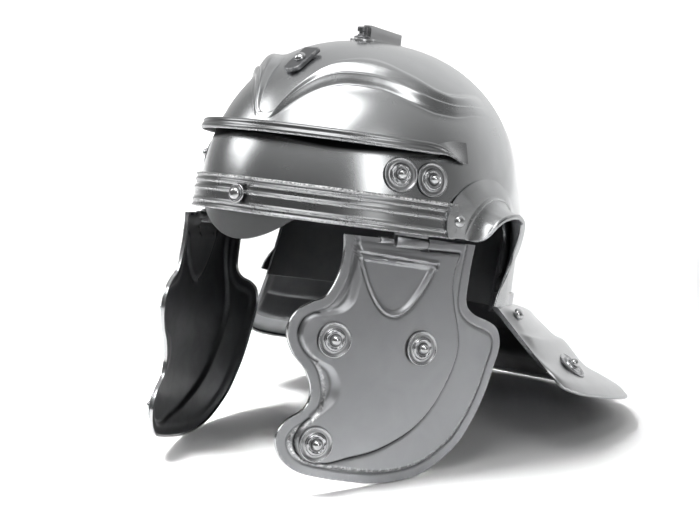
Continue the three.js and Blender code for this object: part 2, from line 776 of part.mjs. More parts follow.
function guardRings() {
  const hub = new THREE.Vector3(guardWidth * guardHub.across, guardHeight * guardHub.down, 0);
  const edge = new THREE.CatmullRomCurve3(plateCurve(guardOutline), false, 'centripetal');
  const rim = edge.getPoints(guardRays);
  const start = rim[0];
  const end = rim[rim.length - 1];
  for (let k = 1; k < guardTopRays; k += 1) rim.push(end.clone().lerp(start, k / guardTopRays));
  const field = plateCurve(guardField);
  const panel = shieldOutline();
  const step = fieldLift / 2;
  return rim.map((corner) => {
    const direction = corner.clone().sub(hub);
    const full = direction.length();
    direction.divideScalar(full);
    const border = full - guardBorder;
    const crest = Math.min(reachTo(field, hub, direction), border) - step;
    const foot = Math.min(crest + 2 * step, border - 0.1);
    const wide = border - foot > 3 * step;
    const span = shieldSpan(panel, hub, direction);
    const rings = [
      { reach: full, height: 0 },
      { reach: border, height: 0 },
      { reach: wide ? border - step : lerp(foot, border, 0.5), height: wide ? bandLift : 0 },
      { reach: foot, height: wide ? bandLift * 0.6 : 0 },
      { reach: crest, height: fieldLift },
    ];
    if (span && span[1] - span[0] > 4 * step) {
      rings.push({ reach: Math.min(span[1], crest - step), height: fieldLift });
      rings.push({ reach: Math.min(span[1], crest - step) - step, height: fieldLift - shieldSink });
      rings.push({ reach: span[0] + step, height: fieldLift - shieldSink });
      rings.push({ reach: span[0], height: fieldLift });
    } else {
      for (const share of [0.9, 0.78, 0.6, 0.45]) rings.push({ reach: crest * share, height: fieldLift });
    }
    return rings.map((ring) => ({ at: hub.clone().addScaledVector(direction, ring.reach), height: ring.height }));
  });
}

function guardGeometry() {
  const rays = guardRings();
  const grid = (thickness, skipped) => {
    const rings = rays[0].map((unused, r) => r).filter((r) => r !== skipped);
    return rings.map((r) => rays.map((ray) => {
      const { at, height } = ray[r];
      return platePoint(at.x, at.y, height - thickness);
    }));
  };
  const hubU = guardWidth * guardHub.across;
  const hubV = guardHeight * guardHub.down;
  const plate = shellGeometry(
    grid(0, -1),
    platePoint(hubU, hubV, fieldLift),
    grid(sheet, 2),
    platePoint(hubU, hubV, fieldLift - sheet),
  );
  return plate;
}

// A bar or tube along the hinge pin, in the helmet's frame
function alongPin(radius, start, length, sides) {
  const geometry = new THREE.CylinderGeometry(radius, radius, length, sides);
  const turn = new THREE.Quaternion().setFromUnitVectors(new THREE.Vector3(0, 1, 0), along);
  geometry.applyQuaternion(turn);
  const middle = hingeOrigin.clone().addScaledVector(along, start + length / 2);
  geometry.translate(middle.x, middle.y, middle.z);
  return geometry;
}

function hingeNotch() {
  const start = knuckleStart - hingeSlit;
  const width = knuckleLength + hingeSlit + hingeGap;
  const height = 4 * knuckleRadius;
  const geometry = new THREE.BoxGeometry(8 * sheet, width, height);
  const basis = new THREE.Matrix4().makeBasis(faceward, along, downward.clone().negate());
  geometry.applyMatrix4(basis);
  const middle = hingeOrigin.clone()
    .addScaledVector(along, start + width / 2)
    .addScaledVector(downward, knuckleRadius + hingeGap - height / 2)
    .addScaledVector(faceward, plateStand);
  geometry.translate(middle.x, middle.y, middle.z);
  return geometry;
}

function cheekGeometry() {
  const first = knuckleStart - hingeSlit - guardTubeLength;
  const second = knuckleStart + knuckleLength + hingeGap;
  let guard = toSolid(guardGeometry()).subtract(toSolid(hingeNotch()));
  for (const start of [first, second]) {
    guard = guard.add(toSolid(alongPin(guardTube, start, guardTubeLength, dishSides)));
    guard = guard.subtract(toSolid(alongPin(pinRadius + seatGap, start - 1, guardTubeLength + 2, studSides)));
  }
  return fromSolid(guard);
}
const cheek = cheekGeometry();
addPiece('cheek_guard_left', cheek, 0.34);
addPiece('cheek_guard_right', mirrored(cheek), 0.34);

// Hinge straps: a knuckle on the pin between the guard's tubes, and a leaf inside the bowl
function strapGeometry() {
  const steps = 4;
  const outer = [];
  const inner = [];
  for (let k = 0; k <= steps; k += 1) {
    const axis = hingeOrigin.clone().addScaledVector(along, knuckleStart + (knuckleLength * k) / steps);
    const angle = Math.atan2(axis.x / bowlHalfWidth, -axis.y / bowlHalfLength);
    const rise = (z, depth) => bowlPoint(angle, z, -sheet - seatGap - 2 * facetSag - depth);
    const foot = (depth) => axis.clone()
      .addScaledVector(outward, -0.5 * knuckleRadius - depth)
      .addScaledVector(downward, -0.5 * knuckleRadius);
    outer.push([rise(strapHeight, 0), rise(browRise, 0), foot(-sheet)]);
    inner.push([rise(strapHeight, sheet), rise(browRise, sheet), foot(0)]);
  }
  const leaf = toSolid(sheetGeometry(outer, inner));
  const knuckle = toSolid(alongPin(knuckleRadius, knuckleStart, knuckleLength, dishSides));
  const bore = toSolid(alongPin(pinRadius + seatGap, knuckleStart - 1, knuckleLength + 2, studSides));
  return fromSolid(leaf.add(knuckle).subtract(bore));
}
const strap = strapGeometry();
addPiece('hinge_strap_left', strap, 0.4);
addPiece('hinge_strap_right', mirrored(strap), 0.4);

function pinGeometry() {
  const start = knuckleStart - hingeSlit - guardTubeLength;
  const length = knuckleLength + hingeSlit + hingeGap + 2 * guardTubeLength;
  return alongPin(pinRadius, start, length, studSides);
}
const pin = mergeVertices(pinGeometry(), 1e-4);
addPiece('hinge_pin_left', pin, 0.4);
addPiece('hinge_pin_right', mirrored(pin), 0.4);

// Turned pieces: profiles of radius and height, stood on a surface
function dishProfile() {
  return [
    [0, 0],
    [dishRadius, 0],
    [dishRadius * 0.94, dishHeight * 0.6],
    [dishRadius * 0.66, dishHeight * 0.45],
    [dishRadius * 0.58, dishHeight],
    [0, dishHeight],
  ];
}

function studProfile() {
  const seat = dishHeight + seatGap;
  return [
    [0, seat],
    [studRadius, seat],
    [studRadius * 0.8, seat + studHeight * 0.7],
    [0, seat + studHeight],
  ];
}

function rivetProfile() {
  return [
    [0, 0],
    [rivetRadius, 0],
    [rivetRadius * 0.94, rivetHeight * 0.45],
    [rivetRadius * 0.6, rivetHeight * 0.85],
    [0, rivetHeight],
  ];
}

function washerProfile() {
  return [
    [0, 0],
    [washerRadius, 0],
    [washerRadius * 0.85, washerHeight],
    [0, washerHeight],
  ];
}

function turned(profile, sides) {
  return new THREE.LatheGeometry(profile.map(([radius, height]) => new THREE.Vector2(radius, height)), sides);
}

function stand(mesh, at, normal) {
  mesh.position.copy(at);
  mesh.quaternion.setFromUnitVectors(new THREE.Vector3(0, 1, 0), normal);
}

function flipX(vector) {
  return new THREE.Vector3(-vector.x, vector.y, vector.z);
}

function addBoss(name, at, normal) {
  for (const [side, point, facing] of [['left', at, normal], ['right', flipX(at), flipX(normal)]]) {
    stand(addPiece(`${name}_dish_${side}`, turned(dishProfile(), dishSides), 0.22), point, facing);
    stand(addPiece(`${name}_stud_${side}`, turned(studProfile(), studSides), 0.2), point, facing);
  }
}

browBosses.forEach((row, k) => {
  const angle = row.angle * degree;
  addBoss(`brow_boss_${k + 1}`, bowlPoint(angle, row.height, seatGap), bowlNormal(angle, row.height));
});

guardBosses.forEach((row, k) => {
  const u = guardWidth * row.across;
  const at = platePoint(u, guardHeight * row.down, fieldLift + seatGap);
  const slant = Math.atan2(plateBend(u + 1) - plateBend(u - 1), 2);
  const normal = faceward.clone().applyAxisAngle(downward, slant).normalize();
  addBoss(`cheek_boss_${k + 1}`, at, normal);
});

function neckBossPlace() {
  const rim = rimCurve();
  const step = neckBossAt.slope + 1;
  const before = neckColumn(rim, neckBossAt.station - 0.5);
  const here = neckColumn(rim, neckBossAt.station);
  const after = neckColumn(rim, neckBossAt.station + 0.5);
  const down = here[step + 1].clone().sub(here[step - 1]);
  const round = after[step].clone().sub(before[step]);
  const normal = down.cross(round).normalize();
  if (normal.z < 0) normal.negate();
  return { at: here[step].clone().addScaledVector(normal, neckBossSeat), normal };
}
const neckBoss = neckBossPlace();
addBoss('neck_boss', neckBoss.at, neckBoss.normal);

// Rivets: one at the middle of the brow band on a washer, two on each ear guard
function addRivet(name, at, normal) {
  stand(addPiece(name, turned(rivetProfile(), studSides), 0.2), at, normal);
}
const browSeat = 2 * seatGap + facetSag + bandThickness + bandRib;
const browAt = bowlPoint(0, bandHeight / 2, browSeat);
const browFacing = bowlNormal(0, bandHeight / 2);
stand(addPiece('brow_washer', turned(washerProfile(), dishSides), 0.25), browAt, browFacing);
addRivet('brow_rivet', browAt.clone().addScaledVector(browFacing, washerHeight + seatGap), browFacing);

const earRivets = [
  { name: 'ear_rivet_front', y: -1.97, z: 0.62, lift: 0 },
  { name: 'ear_rivet_rear', y: 1.50, z: -2.08, lift: 1 },
];
for (const row of earRivets) {
  const y = earMiddle + earTop * row.y;
  const z = earTop * row.z;
  const at = sidePoint(y, z, 2 * seatGap + 2 * facetSag + sheet + earFootLift * row.lift);
  const normal = bowlNormal(sideAngle(y, z), z);
  addRivet(`${row.name}_left`, at, normal);
  addRivet(`${row.name}_right`, flipX(at), flipX(normal));
}

// Crest hook: a bar with a rounded front end, lying along the middle of the bowl
function midPoint(y, offset) {
  let low = 0;
  let high = bowlCrown;
  for (let k = 0; k < 40; k += 1) {
    const mid = (low + high) / 2;
    if (bowlHalfLength * bowlShare(mid) > Math.abs(y)) low = mid;
    else high = mid;
  }
  const angle = y < 0 ? 0 : Math.PI;
  return bowlPoint(angle, Math.min(low, bowlCrown - 0.05), offset);
}

function midNormal(y) {
  return midPoint(y, 1).sub(midPoint(y, 0)).normalize();
}

function hookGeometry() {
  const half = hookWidth / 2;
  const shape = new THREE.Shape();
  const front = half - hookLength / 2;
  shape.moveTo(hookLength / 2, -half);
  shape.lineTo(hookLength / 2, half);
  shape.lineTo(front, half);
  shape.absarc(front, 0, half, Math.PI / 2, Math.PI * 1.5, false);
  return new THREE.ExtrudeGeometry(shape, { depth: hookThickness, bevelEnabled: false, curveSegments: 8 });
}
const hookNormal = midNormal(-hookForward);
const hookMesh = addPiece('crest_hook', hookGeometry(), 0.35);
const hookAlong = new THREE.Vector3(0, hookNormal.z, -hookNormal.y);
const hookAside = hookNormal.clone().cross(hookAlong);
hookMesh.quaternion.setFromRotationMatrix(new THREE.Matrix4().makeBasis(hookAlong, hookAside, hookNormal));
const hookRise = seatGap + facetSag;
hookMesh.position.copy(midPoint(-hookForward, hookRise));
addRivet(
  'crest_hook_rivet',
  midPoint(-hookForward, hookRise + hookThickness + seatGap),
  hookNormal,
);

// Crest fitting on the crown: a base strip, a channel open at both ends and a headed pin before it
const crestPinY = crestShift - crestLength / 2 - crestPinShift;

function crestBaseGeometry() {
  const start = crestPinY - crestBaseDisc;
  const end = crestShift + crestLength / 2 + crestBaseTail;
  const neck = crestPinY + Math.sqrt(crestBaseDisc ** 2 - crestBaseStrip ** 2);
  const shares = [0.02, 0.25, 0.55, 0.8, 1];
  const places = shares.map((share) => lerp(start, crestPinY, share));
  for (let k = 1; k <= 2; k += 1) places.push(lerp(crestPinY, neck, k / 2));
  for (let k = 1; k <= 4; k += 1) places.push(lerp(neck, end, k / 4));
  const unit = [[-1, 0], [1, 0], [1, 1], [-1, 1]].map(([x, y]) => new THREE.Vector2(x, y));
  const stations = places.map((y) => {
    const half = y > neck ? crestBaseStrip : Math.sqrt(crestBaseDisc ** 2 - (y - crestPinY) ** 2);
    const seat = midPoint(y, 2 * seatGap);
    return unit.map((corner) => new THREE.Vector3(
      corner.x * half,
      seat.y,
      seat.z + corner.y * crestBaseThickness,
    ));
  });
  return loftGeometry(stations, unit);
}
addPiece('crest_base', crestBaseGeometry(), 0.35);

function channelGeometry() {
  const half = crestWidth / 2;
  const shape = new THREE.Shape();
  shape.moveTo(-half, 0);
  shape.lineTo(-half, crestHeight);
  shape.lineTo(half, crestHeight);
  shape.lineTo(half, 0);
  shape.lineTo(half - crestWall, 0);
  shape.lineTo(half - crestWall, crestHeight - crestWall);
  shape.lineTo(crestWall - half, crestHeight - crestWall);
  shape.lineTo(crestWall - half, 0);
  return new THREE.ExtrudeGeometry(shape, { depth: crestLength, bevelEnabled: false });
}
const crestTop = bowlCrown + 4 * seatGap + crestBaseThickness;
const crestBox = addPiece('crest_box', channelGeometry(), 0.4);
crestBox.rotation.x = Math.PI / 2 - crestTilt * degree;
crestBox.position.set(0, crestShift + crestLength / 2, crestTop - (crestLength / 2) * Math.sin(crestTilt * degree));

function crestPinProfile() {
  const neck = crestPinStemHeight;
  return [
    [0, 0],
    [crestPinStem * 1.7, 0],
    [crestPinStem, neck * 0.25],
    [crestPinStem, neck],
    [crestPinHead, neck],
    [crestPinHead, neck + crestPinHeadHeight * 0.85],
    [0, neck + crestPinHeadHeight],
  ];
}
const crestPin = addPiece('crest_pin', turned(crestPinProfile(), dishSides), 0.3);
stand(crestPin, midPoint(crestPinY, 3 * seatGap + facetSag + crestBaseThickness), midNormal(crestPinY));

// The helmet rests on its cheek guards and its neck guard: the tip angle that brings both level
function lowest(names, angle) {
  let low = Infinity;
  const point = new THREE.Vector3();
  tipped.children.filter((mesh) => names.some((name) => mesh.name.startsWith(name))).forEach((mesh) => {
    mesh.updateMatrix();
    const position = mesh.geometry.getAttribute('position');
    for (let k = 0; k < position.count; k += 1) {
      point.fromBufferAttribute(position, k).applyMatrix4(mesh.matrix);
      low = Math.min(low, point.z * Math.cos(angle) - point.y * Math.sin(angle));
    }
  });
  return low;
}

function restAngle() {
  let low = 0;
  let high = 45 * degree;
  for (let k = 0; k < 40; k += 1) {
    const angle = (low + high) / 2;
    if (lowest(['neck_guard'], angle) > lowest(['cheek_guard'], angle)) low = angle;
    else high = angle;
  }
  return (low + high) / 2;
}

tipped.rotation.x = -restAngle();
helmet.updateMatrixWorld(true);
const bounds = new THREE.Box3().setFromObject(helmet, true);
tipped.position.set(0, -(bounds.min.y + bounds.max.y) / 2, -bounds.min.z);

export default helmet;
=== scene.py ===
import bpy
import numpy as np
from mathutils import Matrix, Vector


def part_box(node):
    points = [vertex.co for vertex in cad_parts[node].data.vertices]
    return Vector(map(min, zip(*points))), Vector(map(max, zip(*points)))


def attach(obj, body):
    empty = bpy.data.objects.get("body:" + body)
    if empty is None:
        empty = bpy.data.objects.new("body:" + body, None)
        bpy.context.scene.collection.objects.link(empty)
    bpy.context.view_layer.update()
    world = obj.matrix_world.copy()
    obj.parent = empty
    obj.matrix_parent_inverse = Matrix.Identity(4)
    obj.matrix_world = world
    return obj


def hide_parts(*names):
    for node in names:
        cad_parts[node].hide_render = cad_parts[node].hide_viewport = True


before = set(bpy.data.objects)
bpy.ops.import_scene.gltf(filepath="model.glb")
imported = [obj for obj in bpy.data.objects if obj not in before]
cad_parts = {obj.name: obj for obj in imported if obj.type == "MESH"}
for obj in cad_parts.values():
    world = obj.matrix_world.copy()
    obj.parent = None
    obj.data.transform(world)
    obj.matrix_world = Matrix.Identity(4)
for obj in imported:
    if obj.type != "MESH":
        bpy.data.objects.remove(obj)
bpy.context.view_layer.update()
print("helmet frame loaded")

degree = np.pi / 180
# degrees the helmet is tipped back, then mm moved back and up
standing = {"tip": 12.19237, "back": -27.0253, "up": 143.4829}
steelSheet = 1.6  # mm, every plate is raised from the same sheet


def toRow(points):
    # helmet frame in mm (brow line at z = 0) to the row frame in metres: tip about x, then move
    c, s = np.cos(standing["tip"] * degree), np.sin(standing["tip"] * degree)
    x, y, z = points[..., 0], points[..., 1], points[..., 2]
    return np.stack([x, y * c + z * s + standing["back"], z * c - y * s + standing["up"]], -1) / 1000


def linearColour(code):
    # sRGB hex to linear, the standard curve
    parts = np.array([int(code[k:k + 2], 16) / 255 for k in (1, 3, 5)])
    parts = np.where(parts <= 0.04045, parts / 12.92, ((parts + 0.055) / 1.055) ** 2.4)
    return (*parts.tolist(), 1.0)


def softStep(x):
    # 0 below -0.5, 1 above 0.5, an even s-curve between
    x = np.clip(x + 0.5, 0, 1)
    return x * x * (3 - 2 * x)


def hump(x):
    return np.exp(-x * x)


def through(x, xs, ys):
    # curve through rows (xs, ys): cubic pieces whose slopes never overshoot the rows
    xs, ys = np.asarray(xs, float), np.asarray(ys, float)
    h, d = np.diff(xs), np.diff(ys) / np.diff(xs)
    m = np.zeros_like(ys)
    same = d[1:] * d[:-1] > 0
    w1, w2 = 2 * h[1:] + h[:-1], h[1:] + 2 * h[:-1]
    safe = np.where(same, d[1:], 1), np.where(same, d[:-1], 1)
    m[1:-1] = np.where(same, (w1 + w2) / (w1 / safe[1] + w2 / safe[0]), 0)
    m[0], m[-1] = d[0], d[-1]
    x = np.clip(x, xs[0], xs[-1])
    k = np.clip(np.searchsorted(xs, x, side="right") - 1, 0, len(h) - 1)
    t = (x - xs[k]) / h[k]
    return ((1 + 2 * t) * (1 - t) ** 2 * ys[k] + t * (1 - t) ** 2 * h[k] * m[k]
            + t * t * (3 - 2 * t) * ys[k + 1] + t * t * (t - 1) * h[k] * m[k + 1])


def splined(rows, s):
    # Catmull-Rom curve at the steps s: cubics whose slope at a row is half the way between its neighbours
    p = np.asarray(rows, float)
    q = np.vstack([2 * p[0] - p[1], p, 2 * p[-1] - p[-2]])
    k = np.minimum(s.astype(int), len(p) - 2)
    t = (s - k)[:, None]
    a, b, c, d = q[k], q[k + 1], q[k + 2], q[k + 3]
    bend, twist = 2 * a - 5 * b + 4 * c - d, 3 * b - a - 3 * c + d
    return 0.5 * (2 * b + (c - a) * t + bend * t ** 2 + twist * t ** 3)


def flowing(rows, count):
    # points on that curve, evenly spaced by its length in the first two columns
    steps = len(rows) - 1
    fine = splined(rows, np.linspace(0, steps, 24 * steps + 1))
    run = np.concatenate([[0], np.cumsum(np.linalg.norm(np.diff(fine[:, :2], axis=0), axis=1))])
    want = np.linspace(0, run[-1], count)
    return np.stack([np.interp(want, run, column) for column in fine.T], 1)


def nearness(u, v, line):
    # distance from each (u, v) to a polyline, and the line's last column there
    q = np.stack([u.ravel(), v.ravel()], 1)
    a, step = line[:-1, :2], np.diff(line[:, :2], axis=0)
    length = (step ** 2).sum(1) + 1e-12
    best, share, pick = np.zeros(len(q)), np.zeros(len(q)), np.zeros(len(q), int)
    batch = 20000  # points worked out at a time
    for start in range(0, len(q), batch):
        part = slice(start, start + batch)
        t = np.clip(((q[part, None] - a) * step).sum(2) / length, 0, 1)
        gap = np.linalg.norm(q[part, None] - a - t[..., None] * step, axis=2)
        k = gap.argmin(1)
        row = np.arange(len(k))
        best[part], pick[part], share[part] = gap[row, k], k, t[row, k]
    last = line[pick, -1] * (1 - share) + line[pick + 1, -1] * share
    return best.reshape(u.shape), last.reshape(u.shape)


def inside(u, v, loop):
    # true where a ray to the right crosses the closed loop an odd number of times
    odd = np.zeros(u.shape, bool)
    for (ax, ay), (bx, by) in zip(loop[:, :2], np.roll(loop[:, :2], -1, 0)):
        crosses = (ay > v) != (by > v)
        at = ax + (bx - ax) * (v - ay) / (by - ay if by != ay else 1)
        odd ^= crosses & (u < at)
    return odd


def unit(v):
    # vectors brought to length 1
    return v / np.maximum(np.linalg.norm(v, axis=-1, keepdims=True), 1e-12)


def gridNormals(grid):
    # unit normals of a grid of points: difference down the rows crossed with difference along the columns
    return unit(np.cross(np.gradient(grid, axis=0), np.gradient(grid, axis=1)))


def meshFrom(name, grid, material, nodes=(), body="helmet", slot="fittings_steel", around=False, ring=False,
             poles=(), marks=None, lining=()):
    # a grid of points (rows x columns) made a closed mesh: around joins the last column to the first, ring the
    # last row to the first; poles close the end rows with fans, and a ring that isn't around has capped ends
    rows, cols = grid.shape[:2]
    points = grid.reshape(-1, 3)
    down, across = rows if ring else rows - 1, cols if around else cols - 1
    r, c = np.arange(down)[:, None], np.arange(across)[None, :]
    r2, c2 = (r + 1) % rows, (c + 1) % cols
    quads = np.stack([r * cols + c, r * cols + c2, r2 * cols + c2, r2 * cols + c], -1).reshape(-1, 4)
    faces = quads.tolist()
    if poles:
        for at, row, order in ((len(points), 0, -1), (len(points) + 1, rows - 1, 1)):
            pair = [row * cols + c[0], row * cols + c2[0]][::order]
            faces += np.stack([*pair, np.full(cols, at)], 1).tolist()
        points = np.vstack([points, *poles])
    if ring and not around:
        k = np.arange(rows // 2 - 1)
        for col, order in ((0, 1), (cols - 1, -1)):
            strip = np.stack([k, k + 1, rows - 2 - k, rows - 1 - k], 1) * cols + col
            faces += strip[:, ::order].tolist()
    placed = toRow(points)
    mesh = bpy.data.meshes.new(name)
    mesh.from_pydata(placed.tolist(), [], faces)
    for label, mark in (marks or {}).items():
        values = np.zeros(len(points))
        values[:rows * cols] = np.broadcast_to(mark, (rows, cols)).ravel()
        mesh.attributes.new(label, "FLOAT", "POINT").data.foreach_set("value", values)
    mesh.update()
    # a closed mesh whose signed volume is negative is inside out
    mesh.calc_loop_triangles()
    triangles = np.zeros(len(mesh.loop_triangles) * 3, int)
    mesh.loop_triangles.foreach_get("vertices", triangles)
    p = placed[triangles.reshape(-1, 3)]
    if np.einsum("ij,ij->i", p[:, 0], np.cross(p[:, 1], p[:, 2])).sum() < 0:
        mesh.flip_normals()
    mesh.polygons.foreach_set("use_smooth", np.ones(len(mesh.polygons), bool))
    # each band of rows in the lining, first to last, has its own finish; without a first row it is the caps
    mesh.materials.append(material)
    index = np.zeros(len(mesh.polygons), int)
    for number, (first, last, finish) in enumerate(lining, 1):
        mesh.materials.append(finish)
        index[slice(len(quads), None) if first is None else slice(first * across, last * across)] = number
    if poles:
        index[-cols:] = index[len(quads) - 1]
    mesh.polygons.foreach_set("material_index", index)
    mesh.set_sharp_from_angle(angle=50 * degree)
    obj = bpy.data.objects.new(name, mesh)
    bpy.context.collection.objects.link(obj)
    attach(obj, body)
    if nodes:
        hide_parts(*nodes)


def bothSides(name, grid, material, nodes=(), body="helmet", poles=(), **more):
    # the same surface on the wearer's left and, mirrored, on the right
    for side, turn in (("left", np.array([1, 1, 1])), ("right", np.array([-1, 1, 1]))):
        own = body if body == "helmet" else f"{body}_{side}"
        meshFrom(f"{name}_{side}", grid * turn, material, [f"{n}_{side}" for n in nodes], own,
                 poles=[p * turn for p in poles], **more)


def roundEdge(outerRow, innerRow, beyond, steps, bulge):
    # half-round lip from one edge row to the other, pushed out along beyond
    k = (np.arange(1, steps + 1) / (steps + 1))[:, None, None]
    return outerRow * (1 - k) + innerRow * k + beyond * bulge * np.sin(np.pi * k)


def rolledSheet(top, out, thick, radius, inset, arc, cut):
    # a sheet edged with a roll: its section runs out on top, round an arc about a centre set in from the last
    # row, and back underneath; out is a place that the top looks towards
    n = gridNormals(top)
    middle = len(top) // 2, top.shape[1] // 2
    n = n * np.sign(n[middle] @ (out - top[middle]))
    away = unit(top[-1] - top[-3])
    turn = (np.linspace(*arc, 14) * degree)[:, None, None]
    centre = top[-1] - n[-1] * inset[0] - away * inset[1]
    roll = centre + radius * (n[-1] * np.cos(turn) + away * np.sin(turn))
    return np.vstack([top[:-cut], roll, (top - n * thick)[:-cut][::-1]])


# Materials

def addNode(tree, kind, inputs=None, **settings):
    # adds a node with its settings; each input, by name or number, is linked to a socket or set to a value
    node = tree.nodes.new(kind)
    for key, value in settings.items():
        setattr(node, key, value)
    for key, value in (inputs or {}).items():
        if isinstance(value, bpy.types.NodeSocket):
            tree.links.new(value, node.inputs[key])
        else:
            node.inputs[key].default_value = value
    return node


def steel(name, colour, dark, roughness, grain, dents, smudge, wornBright=0.0, shadePainted=False):
    # polished sheet steel: faint hammer dents bend the reflections, buffing lines and smudges vary the gloss
    material = bpy.data.materials.new(name)
    material.use_nodes = True
    tree = material.node_tree
    tree.nodes.clear()
    place = addNode(tree, "ShaderNodeTexCoord").outputs["Object"]

    def noise(size, detail, rough, at=place, distortion=0.0):
        # size is the width of its swells in mm
        inputs = {"Vector": at, "Scale": 1000 / size, "Detail": detail, "Roughness": rough}
        return addNode(tree, "ShaderNodeTexNoise", {**inputs, "Distortion": distortion}).outputs[0]

    def ramp(value, low, high, start, end):
        inputs = {"Value": value, "From Min": low, "From Max": high, "To Min": start, "To Max": end}
        return addNode(tree, "ShaderNodeMapRange", inputs).outputs[0]

    def timesPlus(value, factor, plus):
        inputs = {0: value, 1: factor, 2: plus}
        return addNode(tree, "ShaderNodeMath", inputs, operation="MULTIPLY_ADD").outputs[0]

    def blend(share, a, b):
        inputs = {"Factor": share, "A": a, "B": b}
        return addNode(tree, "ShaderNodeMix", inputs, data_type="RGBA").outputs["Result"]

    swell = noise(38, 1.0, 0.4)  # hammered swells
    ripple = noise(9, 2.0, 0.5)  # planishing marks
    brushed = addNode(tree, "ShaderNodeMapping", {"Vector": place, "Scale": (1.0, 1.0, 7.0)}).outputs[0]
    lines = noise(3.2, 6.0, 0.65, brushed)  # buffing lines, drawn coarser than grit
    smear = noise(22, 5.0, 0.62, distortion=0.6)  # handling smudges
    speck = addNode(tree, "ShaderNodeTexVoronoi", {"Vector": place, "Scale": 1000 / 4.5}).outputs[0]
    pit = ramp(speck, 0.0, 0.10, 1.0, 0.0)
    tone = blend(smear, linearColour(colour), linearColour(dark))
    gloss = timesPlus(smear, smudge, timesPlus(lines, grain, roughness - 0.5 * (grain + smudge)))
    height = timesPlus(lines, 0.0004, timesPlus(pit, -0.003, timesPlus(ripple, 0.012, swell)))
    if wornBright > 0:
        # edges rubbed bare and scratched in small patches, blended towards white: partly wear, partly a painted
        # highlight
        mark = addNode(tree, "ShaderNodeAttribute", attribute_name="wear_and_highlight").outputs["Fac"]
        rubbedBright = timesPlus(mark, ramp(noise(2.4, 3.0, 0.7), 0.44, 0.60, 0.0, 1.0), 0.0)
        tone = blend(rubbedBright, tone, linearColour("#ffffff"))
        gloss = timesPlus(rubbedBright, 0.25 * wornBright, gloss)
        height = timesPlus(rubbedBright, 0.12 * wornBright, height)
    if shadePainted:
        # painted shade: near black blended in where a mesh marks its creases, hollows and the recess under the
        # peak
        shadeMask = addNode(tree, "ShaderNodeAttribute", attribute_name="painted_shade").outputs["Fac"]
        tone = blend(shadeMask, tone, linearColour("#1b1b1c"))
        gloss = timesPlus(shadeMask, 0.3, gloss)
    bump = addNode(tree, "ShaderNodeBump", {"Height": height, "Strength": 1.0, "Distance": dents / 1000})
    shader = addNode(tree, "ShaderNodeBsdfPrincipled",
                     {"Base Color": tone, "Metallic": 1.0, "Roughness": gloss, "Normal": bump.outputs[0]})
    addNode(tree, "ShaderNodeOutputMaterial", {"Surface": shader.outputs[0]})
    return material


# colour, colour of its smudges, roughness, share of the buffing lines, dents in mm, share of the smudges
# buffed until the highlights are soft and slightly wavy, with painted shade under the peak
buffedSteel = steel("sheet steel, buffed", "#c9cacb", "#c1c3c4", 0.26, 0.02, 0.55, 0.08, shadePainted=True)
# brushed to an even grey sheen
satinSteel = steel("sheet steel, satin brushed", "#d0d1d2", "#c6c7c8", 0.34, 0.04, 0.35, 0.10, wornBright=0.5)
# bright ribs with rubbed edges, whitened partly as wear and partly as a painted highlight
rolledSteel = steel("rolled steel strip, polished ribs", "#a3a4a5", "#949596", 0.28, 0.02, 0.14, 0.08, wornBright=0.8)
# small sharp glints
turnedSteel = steel("turned steel, polished", "#d0d1d2", "#c6c7c8", 0.20, 0.02, 0.12, 0.08)
# duller, with an uneven gloss
forgedSteel = steel("forged steel, file finished", "#97989a", "#7c7d7f", 0.34, 0.06, 0.30, 0.14, wornBright=0.5)
# a darker copy of the steel for the inside faces
innerSteel = steel("sheet steel, inside, darker", "#6a6b6d", "#505153", 0.38, 0.08, 0.5, 0.16)
# a darker, even sheen, with painted black shade in the creases
guardSteel = steel("cheek guard steel, satin brushed", "#a9aaac", "#9c9d9f", 0.33, 0.04, 0.35, 0.10, 0.6, True)
# a painted lighter strip under the flange, standing for the bright floor it reflects
underSteel = steel("sheet steel, underside, painted floor reflection", "#8f9092", "#7d7e80", 0.44, 0.08, 0.4, 0.14)
# quiet rings round the rivets, with painted shade in their hollows
pressedSteel = steel("pressed steel washer, satin", "#c6c7c8", "#b6b7b9", 0.25, 0.03, 0.15, 0.10, 0.0, True)
# painted black shade under the peak and inside the crest channel
blackShadeSteel = steel("sheet steel, painted black shade", "#1d1d1e", "#151516", 0.5, 0.05, 0.2, 0.1)
print("steels ready")


# Bowl

bowl = {"halfWidth": 102.5, "halfLength": 118.0, "crown": 124.3, "power": 2.3, "nape": 43.0, "napeSlant": 5.0,
        "browRise": 1.0, "tongueHalf": 40.0, "tongueDepth": 16.5, "earMiddle": 12.5, "earHalf": 20.5,
        "earTop": 19.0, "ridge": 1.25}
# painted shade on the wall under the peak: from a sagging lower edge to a level upper one, as far round as end
# degrees
shade = {"low": 50.0, "sag": 3.8, "sagMiddle": 34.0, "sagWidth": 20.0, "high": 56.8, "end": 67.0}


def bowlShare(z):
    # how wide the bowl still is at a height: a superellipse in z
    return (1 - np.clip(z / bowl["crown"], 0, 1) ** bowl["power"]) ** (1 / bowl["power"])


def bowlBase(t, z):
    # an ellipse at each height, t running from the brow towards the wearer's left
    s = bowlShare(z)
    return np.stack([bowl["halfWidth"] * np.sin(t) * s, -bowl["halfLength"] * np.cos(t) * s, z], -1)


def bowlNormal(t, z):
    # the way round crossed with the way up, both as small differences
    small = 0.02
    sideways = bowlBase(t + small, z) - bowlBase(t - small, z)
    upwards = bowlBase(t, np.minimum(z + small, bowl["crown"])) - bowlBase(t, z - small)
    return unit(np.cross(sideways, upwards))


def bowlPoint(t, z, offset):
    # the bowl's surface moved out along its normal
    t, z, offset = np.broadcast_arrays(*(np.asarray(value, float) for value in (t, z, offset)))
    return bowlBase(t, z) + bowlNormal(t, z) * offset[..., None]


def sidePoint(y, z, offset):
    # the same for a place given by its distance back
    t = np.arccos(np.clip(-y / (bowl["halfLength"] * bowlShare(z)), -1, 1))
    return bowlPoint(t, z, offset)


